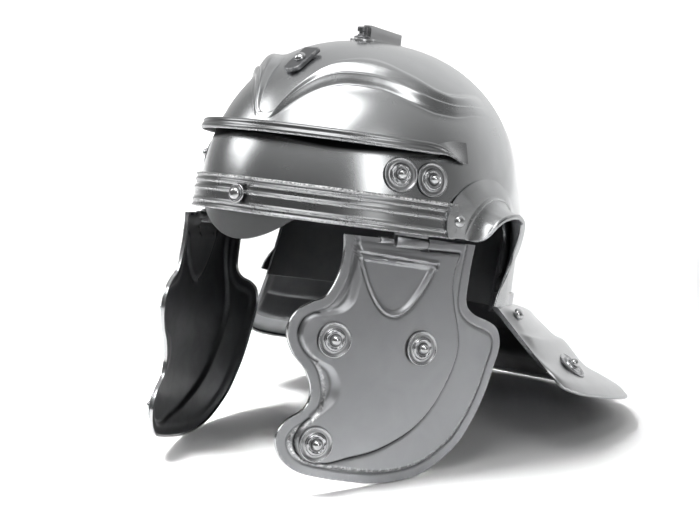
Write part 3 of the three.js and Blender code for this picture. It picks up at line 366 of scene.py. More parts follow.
# Eyebrow ridges by degrees from the front: heights of the top, the middle ridge and the lower edge, and swell
browLines = np.array([
    # degrees, top, middle, low, swell
    (0, 64, 62, 60, 0), (3, 65, 62.5, 60.5, 0.05), (4.5, 67.5, 64, 61.3, 0.2), (6, 71.5, 67, 63.2, 0.36),
    (8.5, 78.5, 73.5, 67.2, 0.52), (11, 84, 78.5, 71, 0.64), (14.5, 91, 83.8, 75.6, 0.76),
    (18, 97, 87.6, 79.6, 0.88), (22.5, 100.8, 90.8, 83.6, 0.97), (28, 102.8, 93, 86.6, 1),
    (32, 103.9, 93.5, 87.7, 1), (38, 104.5, 93.6, 88, 1), (43, 104.1, 93.3, 87.6, 1),
    (48, 102.9, 92.3, 86.6, 1), (55, 100, 90, 83.6, 0.96), (63, 96.4, 86.7, 79.5, 0.9),
    (70, 92.6, 84.3, 77, 0.8), (78, 90.3, 83.4, 76.8, 0.68), (84, 90.8, 84.3, 78.3, 0.55),
    (90, 92.2, 85.5, 80.2, 0.4), (98, 93.8, 86.8, 81, 0.18), (106, 94.5, 87.5, 82, 0),
    (180, 94.5, 87.5, 82, 0)], float)
# section of a ridge from above its top (below 0) over its middle (1) to its lower edge (2): height in mm
browSection = np.array([
    (-0.42, 0), (-0.34, 0.08), (-0.22, 0.5), (-0.1, 1.4), (0.02, 2.7), (0.13, 3.8), (0.25, 4.25),
    (0.36, 4.25), (0.54, 3.7), (0.74, 2.85), (0.86, 2.4), (0.91, 2.45), (0.97, 3.15), (1.02, 3.2),
    (1.08, 2.9), (1.5, 1.35), (1.78, 0.2), (1.88, 0.0), (1.96, 0.12), (2.05, 0.1), (2.14, 0.0)], float)


def bowlEdgeHeight(t):
    # brow with its tongue, the arch of the ear opening, then the nape
    side = bowl["halfWidth"] * np.abs(np.sin(t))
    back = -bowl["halfLength"] * np.cos(t)
    away = (back - bowl["earMiddle"]) / bowl["earHalf"]
    rise, across = bowl["browRise"], side / bowl["tongueHalf"]
    tongue = np.where(back < 0, np.clip(1 - across ** 2, 0, 1), 0)
    brow = rise - (rise + bowl["tongueDepth"]) * tongue
    arch = rise + (bowl["earTop"] - rise) * np.sqrt(np.clip(1 - away ** 2, 0, 1))
    return np.where(away >= 1 + 0.3 / bowl["earHalf"], -bowl["nape"], np.where(away > -1, arch, brow))


def bowlColumns():
    # angles round the bowl: close over the brow, one at each corner of the ear openings, wider at the back
    length = bowl["halfLength"]
    front = np.arccos((bowl["earHalf"] - bowl["earMiddle"]) / length)
    rear = np.arccos(-(bowl["earMiddle"] + bowl["earHalf"] + 0.6) / length)
    ear = np.arccos(-(bowl["earMiddle"] - bowl["earHalf"] * np.cos(np.pi * np.arange(1, 19) / 18)) / length)
    half = np.concatenate([np.linspace(0, front, 116), ear, np.linspace(rear, np.pi, 34)])
    return np.concatenate([half, -half[1:-1][::-1]])


def slanted(t, z):
    # below the brow line the rear edge of the ear opening runs forward as it goes down
    start = np.arccos(-(bowl["earMiddle"] + bowl["earHalf"]) / bowl["halfLength"])
    fade = (np.pi - np.abs(t)) / (np.pi - start)
    move = np.sign(t) * bowl["napeSlant"] * degree * fade * (np.minimum(z, 0) / bowl["nape"])
    return t + np.where(fade > 1.1, 0, move)


def buildBowl():
    # the bowl raised along its normals by the ridges' section times their swell; rows run up to the crown and
    # back down inside, one sheet further in and with half the ridges
    t = bowlColumns()[None, :]
    a = np.abs(t) / degree
    top, mid, low, swell = (through(a, browLines[:, 0], browLines[:, k]) for k in (1, 2, 3, 4))
    edge = bowlEdgeHeight(t)
    w = np.concatenate([np.linspace(2.14, 1.86, 9), np.linspace(1.8, 1.2, 7), np.linspace(1.14, 0.84, 14),
                        np.linspace(0.78, -0.42, 22)])[:, None]
    ridgeZ = np.where(w > 1, mid + (low - mid) * (w - 1), top + (mid - top) * w)
    # level rows under the peak, so that the painted shade there has level edges
    level = np.repeat(np.linspace(35, 58, 28)[:, None], t.size, 1)
    foot = edge + (level[0] - edge) * np.linspace(0, 1, 15)[:-1, None] ** 0.9
    belowZ = np.vstack([foot, level, level[-1] + (ridgeZ[0] - level[-1]) * np.linspace(0, 1, 9)[1:-1, None]])
    wide = bowlShare(ridgeZ[-1]) * np.cos(np.linspace(0, np.pi / 2, 24)[1:-1])[:, None]
    aboveZ = bowl["crown"] * (1 - wide ** bowl["power"]) ** (1 / bowl["power"])
    z = np.vstack([belowZ, ridgeZ, aboveZ])
    lift = np.zeros(z.shape)
    lift[len(belowZ):-len(aboveZ)] = swell * bowl["ridge"] * through(w, *browSection.T)
    tt = slanted(np.broadcast_to(t, z.shape), z)
    outer = bowlPoint(tt, z, lift)
    pick = np.r_[0:46:5, 52:98:8, 102:len(z):4]
    inner = bowlPoint(tt[pick], z[pick], -steelSheet + 0.5 * lift[pick])
    rim = roundEdge(outer[:1], inner[:1], unit(outer[0] - outer[1])[None], 3, 0.35)
    grid = np.vstack([outer[::-1], rim, inner])
    crown = np.array([0, 0, bowl["crown"]])
    # painted shade: darkens the wall just under the peak
    lower = z - shade["low"] + shade["sag"] * hump((a - shade["sagMiddle"]) / shade["sagWidth"])
    shadeMask = softStep(lower / 3.5) * softStep((shade["high"] - z) / 1.2) * softStep((shade["end"] - a) / 8)
    marks = np.zeros(grid.shape[:2])
    marks[:len(outer)] = shadeMask[::-1]
    meshFrom("helmet_bowl", grid, buffedSteel, ["bowl"], slot="polished_steel", around=True,
             poles=(crown, crown - [0, 0, steelSheet]), marks={"painted_shade": marks},
             lining=[(len(outer) - 1, len(grid) - 1, innerSteel)])


buildBowl()
print("bowl raised")


# Brow band and peak

band = {"height": 22.5, "seat": 0.45, "thickness": 2.2, "rib": 0.95, "end": 76.8, "steps": 240, "waver": 0.03,
        # height and half width of each rib
        "ribs": ((0.9, 0.9), (5.0, 0.85), (12.7, 0.85), (17.9, 0.85), (21.6, 0.9))}


def buildBand():
    # lengthwise ribs (humps in height) on a flat strip with eased edges, carried round the brow
    high, seat = band["height"], band["seat"]
    z = np.concatenate([[0, 0.12], np.linspace(0.3, high - 0.3, 110), [high - 0.12, high]])
    rib = sum(hump((z - middle) / wide) for middle, wide in band["ribs"])
    face = seat + band["thickness"] - 0.25 + band["rib"] * np.clip(rib, 0, 1.0)
    face[[0, -1]] -= 0.55
    face[[1, -2]] -= 0.15
    back = [(seat, high), (seat, 0.75 * high), (seat, high / 2), (seat, 0)]
    offset, z = np.vstack([np.stack([face, z], 1), back]).T[..., None]
    t = np.linspace(-band["end"], band["end"], band["steps"])[None, :] * degree
    grid = bowlPoint(t, z, offset + np.where(offset > 1, band["waver"], 0) * np.sin(t * 23))
    # top and bottom edges rubbed and whitened: partly wear, partly a painted highlight
    rubbedBright = hump((z - 21.9) / 0.9) + 0.35 * hump((z - 0.8) / 0.7)
    meshFrom("brow_band_strip", grid, rolledSteel, ["brow_band"], slot="polished_steel", ring=True,
             marks={"wear_and_highlight": rubbedBright})


peak = {"height": 55.5, "reach": 10.0, "drop": 6.6, "end": 80.5, "twistFrom": 62.0, "bead": 1.7, "steps": 260,
        "seat": 0.35, "endSeat": 0.9, "endRise": 0.55, "endSpread": 0.3}


def buildPeak():
    # flat ledge ending in two rolled beads; towards its ends the section turns until it lies on the bowl
    upper = np.linspace(-95, 38, 14) * degree
    lower = np.linspace(-38, 165, 20) * degree
    r = peak["bead"]
    middle = peak["reach"] - r
    beads = [np.stack([middle + r * np.cos(arc), height + r * np.sin(arc)], 1)
             for arc, height in ((upper, 1.45), (lower, peak["drop"] - r))]
    section = np.vstack([[(0, 0), (3, -0.05), (4.5, -0.08), (6, -0.1)], *beads,
                         [(6.6, 2.2), (6.1, 1.65), (3, 1.6), (0, 1.6)]])
    t = np.linspace(-peak["end"], peak["end"], peak["steps"])[None, :] * degree
    share = np.clip((np.abs(t) / degree - peak["twistFrom"]) / (peak["end"] - peak["twistFrom"]), 0, 1)
    turn = softStep(share - 0.5)
    c, s = np.cos(turn * np.pi / 2), np.sin(turn * np.pi / 2)
    away, down = section[:, :1], section[:, 1:] * (1 + (steelSheet / peak["drop"] - 1) * s)
    out = away * c + (steelSheet - down) * s
    drop = away * (1 + peak["endSpread"] * turn) * s + down * c
    z = peak["height"] - drop + peak["endRise"] * peak["reach"] * s
    grid = bowlPoint(t, z, peak["seat"] + peak["endSeat"] * s + out)
    # the underside rows painted black as the shade under the peak
    meshFrom("brow_peak_roll", grid, rolledSteel, ["brow_peak"], slot="polished_steel", ring=True,
             lining=[(len(section) - 12, len(section), blackShadeSteel)])


buildBand()
buildPeak()
print("brow band and peak fitted")


# Neck guard

neck = {"halfWidth": 146.0, "back": 224.0, "drop": 96.0, "bead": 1.7, "collarTop": 31.0, "collarFoot": 38.5,
        "stand": 2.05, "edge": 1.5, "columns": 220}
# rim from its front corner to the back: nape angle, then shares of halfWidth, back and drop
neckRim = np.array([
    # angle, side, back, drop
    (103, 0.925, 0.224, 0.820), (108, 0.978, 0.254, 0.895), (114, 1.0, 0.322, 0.935), (122.5, 0.998, 0.424,
    0.955), (131, 0.978, 0.545, 0.965), (138, 0.930, 0.661, 0.972), (146, 0.836, 0.770, 0.980), (154, 0.685,
    0.866, 0.985), (162, 0.480, 0.942, 0.990), (171, 0.247, 0.986, 0.997), (180, 0.0, 1.0, 1.0)], float)
# slope from the nape to the rim, with two pressed steps: shares of the way out and of the way down
neckSlope = np.array([
    (0, 0), (0.07, 0.02), (0.14, 0.045), (0.22, 0.14), (0.30, 0.24), (0.385, 0.34), (0.445, 0.37),
    (0.485, 0.425), (0.56, 0.55), (0.64, 0.67), (0.78, 0.77), (0.92, 0.88), (1, 1)], float)


def neckSteps(count):
    # how much of the pressed steps each column has: none along the two front edges, all from the 13th column on
    edge = np.minimum(np.arange(count), count - 1 - np.arange(count))
    return softStep((edge - 1) / 12 - 0.5)


def neckSurface(count):
    # a short collar on the nape, then straight lines from its foot to the rim, bent by the slope's steps
    rows = np.vstack([neckRim, neckRim[-2::-1] * [1, -1, 1, 1]])
    rows[len(neckRim):, 0] = 360 - rows[len(neckRim):, 0]
    angle, side, back, drop = splined(rows, np.linspace(0, len(rows) - 1, count)).T
    end = np.stack([side * neck["halfWidth"], back * neck["back"], -drop * neck["drop"]], 1)
    start = bowlPoint(angle * degree, -neck["collarFoot"] - 0.3, neck["stand"])
    way = np.linspace(0, 1, 64)
    arc = np.concatenate([[0], np.cumsum(np.hypot(*np.diff(neckSlope, axis=0).T))])
    step = neckSteps(count)
    out, down = (way[:, None] * (1 - step) + through(way, arc / arc[-1], share)[:, None] * step
                 for share in neckSlope.T)
    slope = start + (end - start) * np.stack([out, out, down], -1)
    rise = np.linspace(-neck["collarTop"], -neck["collarFoot"] + 0.6, 5)[:, None]
    return np.vstack([bowlPoint(angle * degree, rise, neck["stand"]), slope])


def buildNeckGuard():
    # pressed sheet from the nape to a rolled rim, thicker along its two front edges
    top, bead = neckSurface(neck["columns"]), neck["bead"]
    thick = steelSheet + neck["edge"] * (1 - neckSteps(neck["columns"]))[:, None]
    grid = rolledSheet(top, np.array([0, 0, 1000]), thick, bead, (bead - 0.25, bead), (25, 250), 2)
    # a painted lighter strip behind the roll for the floor it reflects; the rest of the underside and the ends
    # left dark
    strip = len(top) + 9, len(top) + 27
    meshFrom("neck_guard_plate", grid, satinSteel, ["neck_guard"], slot="plate_steel", ring=True,
             lining=[(*strip, underSteel), (strip[1], len(grid) - 1, innerSteel), (None, None, innerSteel)])


buildNeckGuard()
print("neck guard pressed")


# Ear guards

earGuard = {"flare": 11.5, "footLift": 2.2, "roll": 1.95, "edge": 0.85, "stand": 2.05, "sunk": 1.1,
            "bead": 0.55, "stations": 150}
# stations from the front foot over the ear to the rear foot: mm back from the bowl's middle, mm above the brow
earStations = np.array([
    # baseY, baseZ, rootY, rootZ, lipY, lipZ, flare, lift
    (-33, 1, -18, 1.2, -15.6, 0.6, 0, -1.1), (-35, 8, -18, 5, -8, 1.4, 0.3, -1.1), (-34.5, 15, -16.5, 9.5,
    -3.2, 5.4, 0.52, -1.1), (-30, 23, -13.5, 15, 0.6, 11.8, 0.78, -0.6), (-23.5, 30, -8, 21, 5, 16.1, 0.93,
    0), (-14, 36.5, -2, 26, 9.5, 17.9, 0.97, 0), (-2, 40.5, 6, 29, 14, 19, 0.99, 0), (10, 41, 14, 29.5,
    18.5, 19.4, 0.99, 0), (22, 38, 23, 28.5, 23, 19.1, 0.97, 0), (33, 32, 31, 25, 29.5, 16.2, 0.93, 0), (41,
    22, 37, 17, 32, 11, 0.85, 0), (46, 11, 41, 8, 35.5, 3, 0.63, 0), (48, -2, 43, -3, 37.3, -7.2, 0.36, 0),
    (48, -16, 41.5, -16, 34.4, -18.6, 0.17, 0.1), (46, -31, 37.5, -31, 25, -31, 0, 0.9), (44, -41.5, 34,
    -41.5, 21.5, -39.5, 0, 1)], float)


def buildEarGuards():
    # base plate on the bowl, then a trumpet flare whose lift grows as a power of the way to the lip, with a
    # bead at its root, then a rolled lip
    row = splined(earStations, np.linspace(0, len(earStations) - 1, earGuard["stations"]))
    baseY, baseZ, rootY, rootZ, lipY, lipZ = row[:, :6].T
    flare, lift = np.clip(row[:, 6:], [0, -1.1], 1).T
    high = earGuard["stand"] + earGuard["footLift"] * np.maximum(lift, 0)
    w = np.linspace(0, 1, 12)[:, None]
    over = earGuard["footLift"] * np.maximum(-lift, 0) * 0.9 - earGuard["sunk"] * softStep((baseY + 6) / 22)
    plate = sidePoint(baseY + (rootY - baseY) * w, baseZ + (rootZ - baseZ) * w, high + (1 - w) * over)
    w = np.linspace(0, 1, 26)[1:, None]
    trumpet = sidePoint(rootY + (lipY - rootY) * w, rootZ + (lipZ - rootZ) * w,
                        high + earGuard["flare"] * flare * (0.22 * w + 0.78 * w ** 2.7)
                        + earGuard["bead"] * hump((w - 0.07) / 0.05) * flare)
    outer = np.vstack([plate, trumpet])
    radius = (earGuard["edge"] + (earGuard["roll"] - earGuard["edge"]) * np.clip(flare * 2.2, 0, 1))[:, None]
    inset = 0.5 * steelSheet, 0.3
    grid = rolledSheet(outer, np.array([1000, 0, 1000]), steelSheet, radius, inset, (15, 235), 1)
    bothSides("ear_guard_flare", grid, buffedSteel, ["ear_guard"], slot="polished_steel", ring=True,
              lining=[(len(outer) + 12, len(grid) - 1, innerSteel)])


buildEarGuards()
print("ear guards flared")


# Cheek guards, in plate coordinates: u rearwards along the hinge, v down the plate, both in mm

guard = {"forward": 80.6, "aside": 77.7, "drop": 5.7, "toe": 17.2, "lean": 0.5, "bend": 400.0, "stand": 3.64,
         "rise": 1.7, "bendMiddle": 55.0, "border": 7.3, "field": 2.9, "band": 1.2, "shieldSink": 1.8,
         "rays": 520, "rings": 104}
hub = np.array([35.0, 85.0])
toe, lean = guard["toe"] * degree, guard["lean"] * degree
alongHinge = np.array([np.sin(toe), np.cos(toe), 0])
outHinge = np.array([np.cos(toe), -np.sin(toe), 0])
downPlate = np.array([0, 0, -np.cos(lean)]) - np.sin(lean) * outHinge
facePlate = np.cos(lean) * outHinge - np.array([0, 0, np.sin(lean)])
hingeAxis = np.array([guard["aside"], -guard["forward"], -guard["drop"]])


def platePoint(u, v, w):
    # a plate bent slightly round the cheek: depth falls off as the square of the way from the middle
    u, v, w = (np.asarray(value, float)[..., None] for value in (u, v, w))
    bent = w + guard["stand"] - (u - guard["bendMiddle"]) ** 2 / (2 * guard["bend"])
    return hingeAxis + u * alongHinge + (v - guard["rise"]) * downPlate + bent * facePlate


guardOutline = [
    (-16, 1), (-15, 13), (-17, 27), (-23, 40), (-31, 44.5), (-40, 51), (-44, 60), (-43, 69), (-38, 78),
    (-29.5, 87), (-25, 97), (-25, 106), (-29, 112), (-37, 118), (-42, 126), (-42, 134), (-37, 143),
    (-26, 149.5), (-10, 152), (4, 153), (23, 153.5), (43, 151), (61, 145), (76, 135), (88, 123), (98, 106),
    (104, 91), (108, 76), (111, 64), (110.5, 56), (106, 49), (98, 45.3), (88, 42.8), (82, 40), (78.5, 36.5),
    (77, 31), (77, 22), (77.3, 11), (78.5, -2.4)]
# edge of the raised field, with the width of the slope that leads down from it
fieldEdge = [
    (-7, 7, 5), (-6, 18, 6.5), (-5, 28, 7), (-6, 37, 7), (-8, 43, 7), (-13.5, 48, 5.5), (-22, 50.5, 3.5),
    (-30, 52, 2.6), (-35.5, 57, 2), (-37, 64, 1.8), (-34.5, 71, 2), (-29, 77, 2.4), (-22, 80.5, 3.2),
    (-15, 84, 5), (-10.5, 90.5, 6.5), (-9, 97, 7.5), (-10.5, 103, 7.5), (-15, 108.5, 5.5),
    (-20, 113.5, 3.5), (-26, 119, 2.4), (-30, 125, 1.8), (-30.5, 131, 1.6), (-28, 137, 1.6),
    (-21.5, 141.5, 1.6), (-10, 142, 1.6), (5, 137.5, 1.6), (20, 133, 1.6), (34, 126, 1.6), (46, 118, 1.6),
    (55, 109, 1.6), (62, 99, 1.6), (68, 87, 1.6), (72, 76, 1.6), (74, 65, 1.6), (72, 53, 1.6),
    (67, 40, 1.6), (63.3, 27, 1.6), (63, 15, 1.6), (65.5, 5, 1.6)]
shieldShape = {"left": -6.0, "right": 48.0, "top": 12.0, "bottom": 47.0, "tilt": 0.04}


def guardHeight(u, v, soft):
    # border, band and field one above the other, the shield sunk into the field; soft widens the steps and
    # leaves out the creases, for the back face
    rim, field = flowing(guardOutline, 260), flowing(fieldEdge, 300)
    dOut, _ = nearness(u, v, rim)
    dOut = np.where(inside(u, v, rim), dOut, -dOut)
    dField, width = nearness(u, v, np.vstack([field, field[:1]]))
    dField = np.where(inside(u, v, field), dField, -dField)
    plain = softStep((dOut - guard["border"] - 0.4) / (1.5 + soft))
    band = guard["band"] * plain * (1 - 0.35 * np.clip((dOut - guard["border"]) / 26, 0, 1))
    step = softStep((dField + 0.15 * width) / (width + soft))
    h = band * (1 - step) + guard["field"] * step
    narrow = width < 3
    inBorder = dOut - guard["border"] + 0.9
    if not soft:
        h = h - 0.9 * hump((dField + 0.9) / 0.8) * narrow * plain - 0.4 * hump(inBorder / 0.6)
    # shield: a parabola hanging from a straight top edge
    s = shieldShape
    mid, half, rise = (s["left"] + s["right"]) / 2, (s["right"] - s["left"]) / 2, s["top"] - s["bottom"]
    x = np.linspace(-1, 1, 121)
    dCurve, _ = nearness(u, v, np.stack([mid + half * x, s["bottom"] + rise * x ** 2], 1))
    xx = np.clip((u - mid) / half, -1, 1)
    within = (v < s["bottom"] + rise * xx ** 2) & (v > s["top"] - 0.5) & (np.abs(u - mid) < half)
    dCurve = np.where(within, dCurve, -dCurve)
    topFade = softStep((v - s["top"] - 2.2) / (1.6 + soft))
    below = v > s["top"]
    h = h - guard["shieldSink"] * softStep((dCurve - 1.4) / (2.4 + soft)) * topFade
    h = h + below * (0.45 * hump((dCurve - 0.1) / 0.75) - 0.35 * hump((dCurve + 1.5) / 0.7))
    # two ribs across the top of the shield, with a groove between
    span = softStep((u - s["left"] + 1) / 3) * softStep((s["right"] + 1 - u) / 3)
    level = v - s["tilt"] * (u - mid)
    h = h + span * (0.75 * hump((level - 10.6) / 0.8) + 0.9 * hump((level - 14.4) / 0.9)
                    - 0.5 * hump((level - 12.5) / 0.7))
    # painted shade in the creases: the groove round the field, the foot of wide slopes, border and shield
    shadeMask = np.maximum.reduce([
        0.95 * hump((dField + 0.9) / 0.75) * narrow, 0.5 * hump((dField + 0.62 * width) / 1.1) * ~narrow,
        0.55 * hump(inBorder / 0.55), 0.7 * hump((dCurve + 1.5) / 0.6) * below,
        0.6 * hump((level - 12.5) / 0.6) * span])
    return h, dOut, shadeMask * softStep((dOut - 2) / 1.5)


def buildCheekGuards():
    # rays from a hub to the outline, rings along them; the front carries the fine steps, the back softer ones
    rim = flowing(guardOutline, guard["rays"] - 90)
    # top edge from the rear to the front, with the slot for the hinge strap
    slot = [(78.5, -2.4), (42.3, -2.4), (42.3, 5.0), (17.2, 5.0), (16.2, 0.2), (-16, 1)]
    parts = [np.linspace(a, b, n, endpoint=False) for a, b, n in zip(slot[:-1], slot[1:], (30, 6, 24, 5, 27))]
    rim = np.vstack([rim, np.vstack(parts)[1:]])
    ringsBack = np.concatenate([np.linspace(0.02, 0.93, 38), np.linspace(0.945, 1, 8)])
    faces = []
    for way, soft in ((np.linspace(0.02, 1, guard["rings"]), 0), (ringsBack, 1.5)):
        u, v = np.moveaxis(hub + (rim[None] - hub) * way[:, None, None], -1, 0)
        faces.append((u, v, *guardHeight(u, v, soft)))
    (u, v, h, dOut, shadeMask), (ub, vb, hb, dBack, _) = faces
    outer = platePoint(u, v, h)
    inner = platePoint(ub, vb, hb - steelSheet * (1 + 0.6 * hump(dBack / 1.4)))
    beyond = unit(rim - hub)
    edge = roundEdge(outer[-1:], inner[-1:], beyond[:, :1] * alongHinge + beyond[:, 1:] * downPlate, 3, 0.25)
    grid = np.vstack([outer, edge, inner[::-1]])
    wear_and_highlight, painted_shade = np.zeros(grid.shape[:2]), np.zeros(grid.shape[:2])
    # painted shade in the creases of the front face
    painted_shade[:len(outer)] = shadeMask
    # border and rim rubbed and whitened, more towards the bottom: partly wear, partly a painted highlight
    low = np.clip((v - 60) / 60, 0, 1)
    wear_and_highlight[:len(outer)] = hump((dOut - guard["border"] - 0.6) / 0.9) * low + 0.25 * hump(dOut)
    poles = [platePoint(*hub, w) for w in (guard["field"], guard["field"] - steelSheet)]
    # the rounded rim in the lighter turned steel: partly a polished edge, partly a painted highlight
    bothSides("cheek_guard_plate", grid, guardSteel, ["cheek_guard"], "cheek_guard", poles, slot="plate_steel",
              around=True, marks={"wear_and_highlight": wear_and_highlight, "painted_shade": painted_shade},
              lining=[(len(outer) - 1, len(outer) + 6, turnedSteel),
                      (len(outer) + 6, len(grid) - 1, innerSteel)])


buildCheekGuards()
print("cheek guards embossed")


# Turned and bent fittings

def turnedGrid(profile, at, normal, sides, petals=0.0, square=2.0):
    # a profile of (radius, height) spun round a normal; petals wave a boss's collar eight times, and square
    # above 2 swells the outside of a bar from round towards square
    side = unit(np.cross(normal, [0, 0, 1.0] if abs(normal[2]) < 0.9 else [1.0, 0, 0]))
    other = np.cross(normal, side)
    phi = np.linspace(0, 2 * np.pi, sides, endpoint=False)[None, :]
    c, s = np.cos(phi), np.sin(phi)
    r, h = profile[:, :1], profile[:, 1:]
    h = h + np.where((r > 4.8) & (r < 6.4), petals * np.cos(8 * phi), 0)
    swell = (np.abs(c) ** square + np.abs(s) ** square) ** (-1 / square)
    r = np.where(r > r.min(), r * swell, r)
    return at + (r * c)[..., None] * side + (r * s)[..., None] * other + h[..., None] * normal


def rounded(profile, count):
    # a profile made denser and smoother, keeping its ends
    p = np.asarray(profile, float)
    run = np.concatenate([[0], np.cumsum(np.hypot(*np.diff(p, axis=0).T))])
    want = np.linspace(0, run[-1], count)
    return np.stack([through(want, run, column) for column in p.T], 1)


def turnedPiece(make, name, node, profile, at, normal, sides, finish, body="helmet", petals=0.0, marks=None):
    # a spun profile closed at its foot and top, made once by meshFrom or as a pair by bothSides
    poles = [at + normal * profile[k, 1] for k in (0, -1)]
    make(name, turnedGrid(profile, at, normal, sides, petals), finish, [node], body, around=True, poles=poles,
         marks=marks)


boss = {"radius": 11.2, "dome": 3.3, "sides": 56, "petals": 0.1}


def buildBoss(name, at, normal, body="helmet"):
    # an embossed washer with a raised rim, a hollow, a petalled collar, and a domed rivet head in the middle
    r = boss["radius"]
    dish = rounded([(r, 0), (r, 0.9), (r - 0.3, 1.5), (r - 0.8, 1.6), (r - 1.6, 1.15), (8.6, 0.8), (7.6, 0.85),
                    (7.0, 1.2), (6.7, 1.9), (6.3, 2.4), (5.6, 2.6), (5.0, 2.45), (4.4, 2.15), (3.4, 2.1),
                    (0.3, 2.1)], 44)
    dome = rounded([(boss["dome"], 2.3), (3.35, 3.2), (3.05, 4.3), (2.4, 5.3), (1.4, 6.1), (0.2, 6.5)], 16)
    # painted shade round the rivet head, in the hollow and at the outer edge
    far = dish[:, :1]
    ringShade = np.maximum.reduce([share * hump((far - at) / wide)
                              for share, at, wide in ((0.85, 3.7, 0.5), (0.45, 8.7, 0.9), (0.7, 11.2, 0.3))])
    turnedPiece(bothSides, f"{name}_dish", f"{name}_dish", dish, at, normal, boss["sides"], pressedSteel, body,
                boss["petals"], {"painted_shade": ringShade})
    turnedPiece(bothSides, f"{name}_dome", f"{name}_stud", dome, at, normal, boss["sides"], turnedSteel, body)


for number, (angle, height) in enumerate(((55.6, 35.8), (66.9, 35.3)), 1):
    spot = angle * degree, height
    buildBoss(f"brow_boss_{number}", bowlPoint(*spot, 0.3), bowlNormal(*spot))
for number, (u, v) in enumerate(((-16.0, 66.0), (45.0, 66.0), (-19.1, 131.0)), 1):
    normal = unit(np.cross(downPlate, platePoint(u + 1, v, 0) - platePoint(u - 1, v, 0)))
    normal = normal * np.sign(normal @ facePlate)
    buildBoss(f"cheek_boss_{number}", platePoint(u, v, guard["field"] + 0.3), normal, "cheek_guard")


def nodeMiddle(node):
    # middle of a CAD node's box, taken back from the row frame in metres to the helmet frame in mm
    x, y, z = np.mean(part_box(node), axis=0) * 1000
    c, s = np.cos(standing["tip"] * degree), np.sin(standing["tip"] * degree)
    y, z = y - standing["back"], z - standing["up"]
    return np.array([x, y * c - z * s, y * s + z * c])


neckTop = neckSurface(neck["columns"])
neckNormals = gridNormals(neckTop)


def onNeckGuard(place, lift):
    # the neck guard's point nearest to a place, lifted off its upper face, and its normal there
    near = np.linalg.norm(neckTop - place, axis=2)
    spot = np.unravel_index(near.argmin(), near.shape)
    normal = neckNormals[spot] * np.sign(neckNormals[spot][2])
    return neckTop[spot] + normal * lift, normal


buildBoss("neck_boss", *onNeckGuard(nodeMiddle("neck_boss_dish_left"), 0.6))

rivet = {"radius": 4.1, "height": 3.3, "sides": 40}
washer = {"radius": 6.3, "sides": 48}


def buildRivet(make, name, node, at, normal):
    # a domed rivet head spun round its own axis
    r, h = rivet["radius"], rivet["height"]
    profile = rounded([(r - 0.1, 0), (r, h - 2.6), (r - 0.4, h - 1.6), (r - 1.3, h - 0.7), (r - 2.6, h - 0.1),
                       (0.2, h)], 18)
    turnedPiece(make, name, node, profile, at, normal, rivet["sides"], turnedSteel)


def buildRivets():
    # one on its washer before the brow, and one at each foot of each ear guard
    r = washer["radius"]
    normal = bowlNormal(0.0, 11.25)
    profile = rounded([(r, 0), (r, 0.5), (r - 0.4, 1.0), (r - 1.1, 1.2), (r - 1.7, 1.0), (0.3, 0.95)], 20)
    turnedPiece(meshFrom, "brow_washer_ring", "brow_washer", profile, nodeMiddle("brow_washer") - normal * 0.6,
                normal, washer["sides"], pressedSteel)
    buildRivet(meshFrom, "brow_rivet_dome", "brow_rivet", nodeMiddle("brow_rivet") - normal * 1.5, normal)
    normal = bowlNormal(np.arccos(24.9 / (bowl["halfLength"] * bowlShare(11.8))), 11.8)
    at = nodeMiddle("ear_rivet_front_left") - normal
    buildRivet(bothSides, "ear_rivet_front_dome", "ear_rivet_front", at, normal)
    buildRivet(bothSides, "ear_rivet_rear_dome", "ear_rivet_rear",
               *onNeckGuard(nodeMiddle("ear_rivet_rear_left") + [2.0, 2.0, -6.5], 0.9))


buildRivets()
print("bosses and rivets set")


hinge = {"start": 18.0, "length": 24.0, "knuckle": 4.2, "square": 3.2, "tube": 2.5, "tubeLength": 9.5,
         "slit": 1.6, "gap": 0.6, "pin": 1.0, "leaf": 20.0}


def tubeProfile(radius, length):
    # out along the outside with eased corners, back through the bore
    e, bore = min(0.35, length / 8), hinge["pin"] + 0.3
    return np.array([(bore, 0), (radius - e, 0), (radius, e), (radius, length / 2), (radius, length - e),
                     (radius - e, length), (bore, length), (bore, length / 2)])


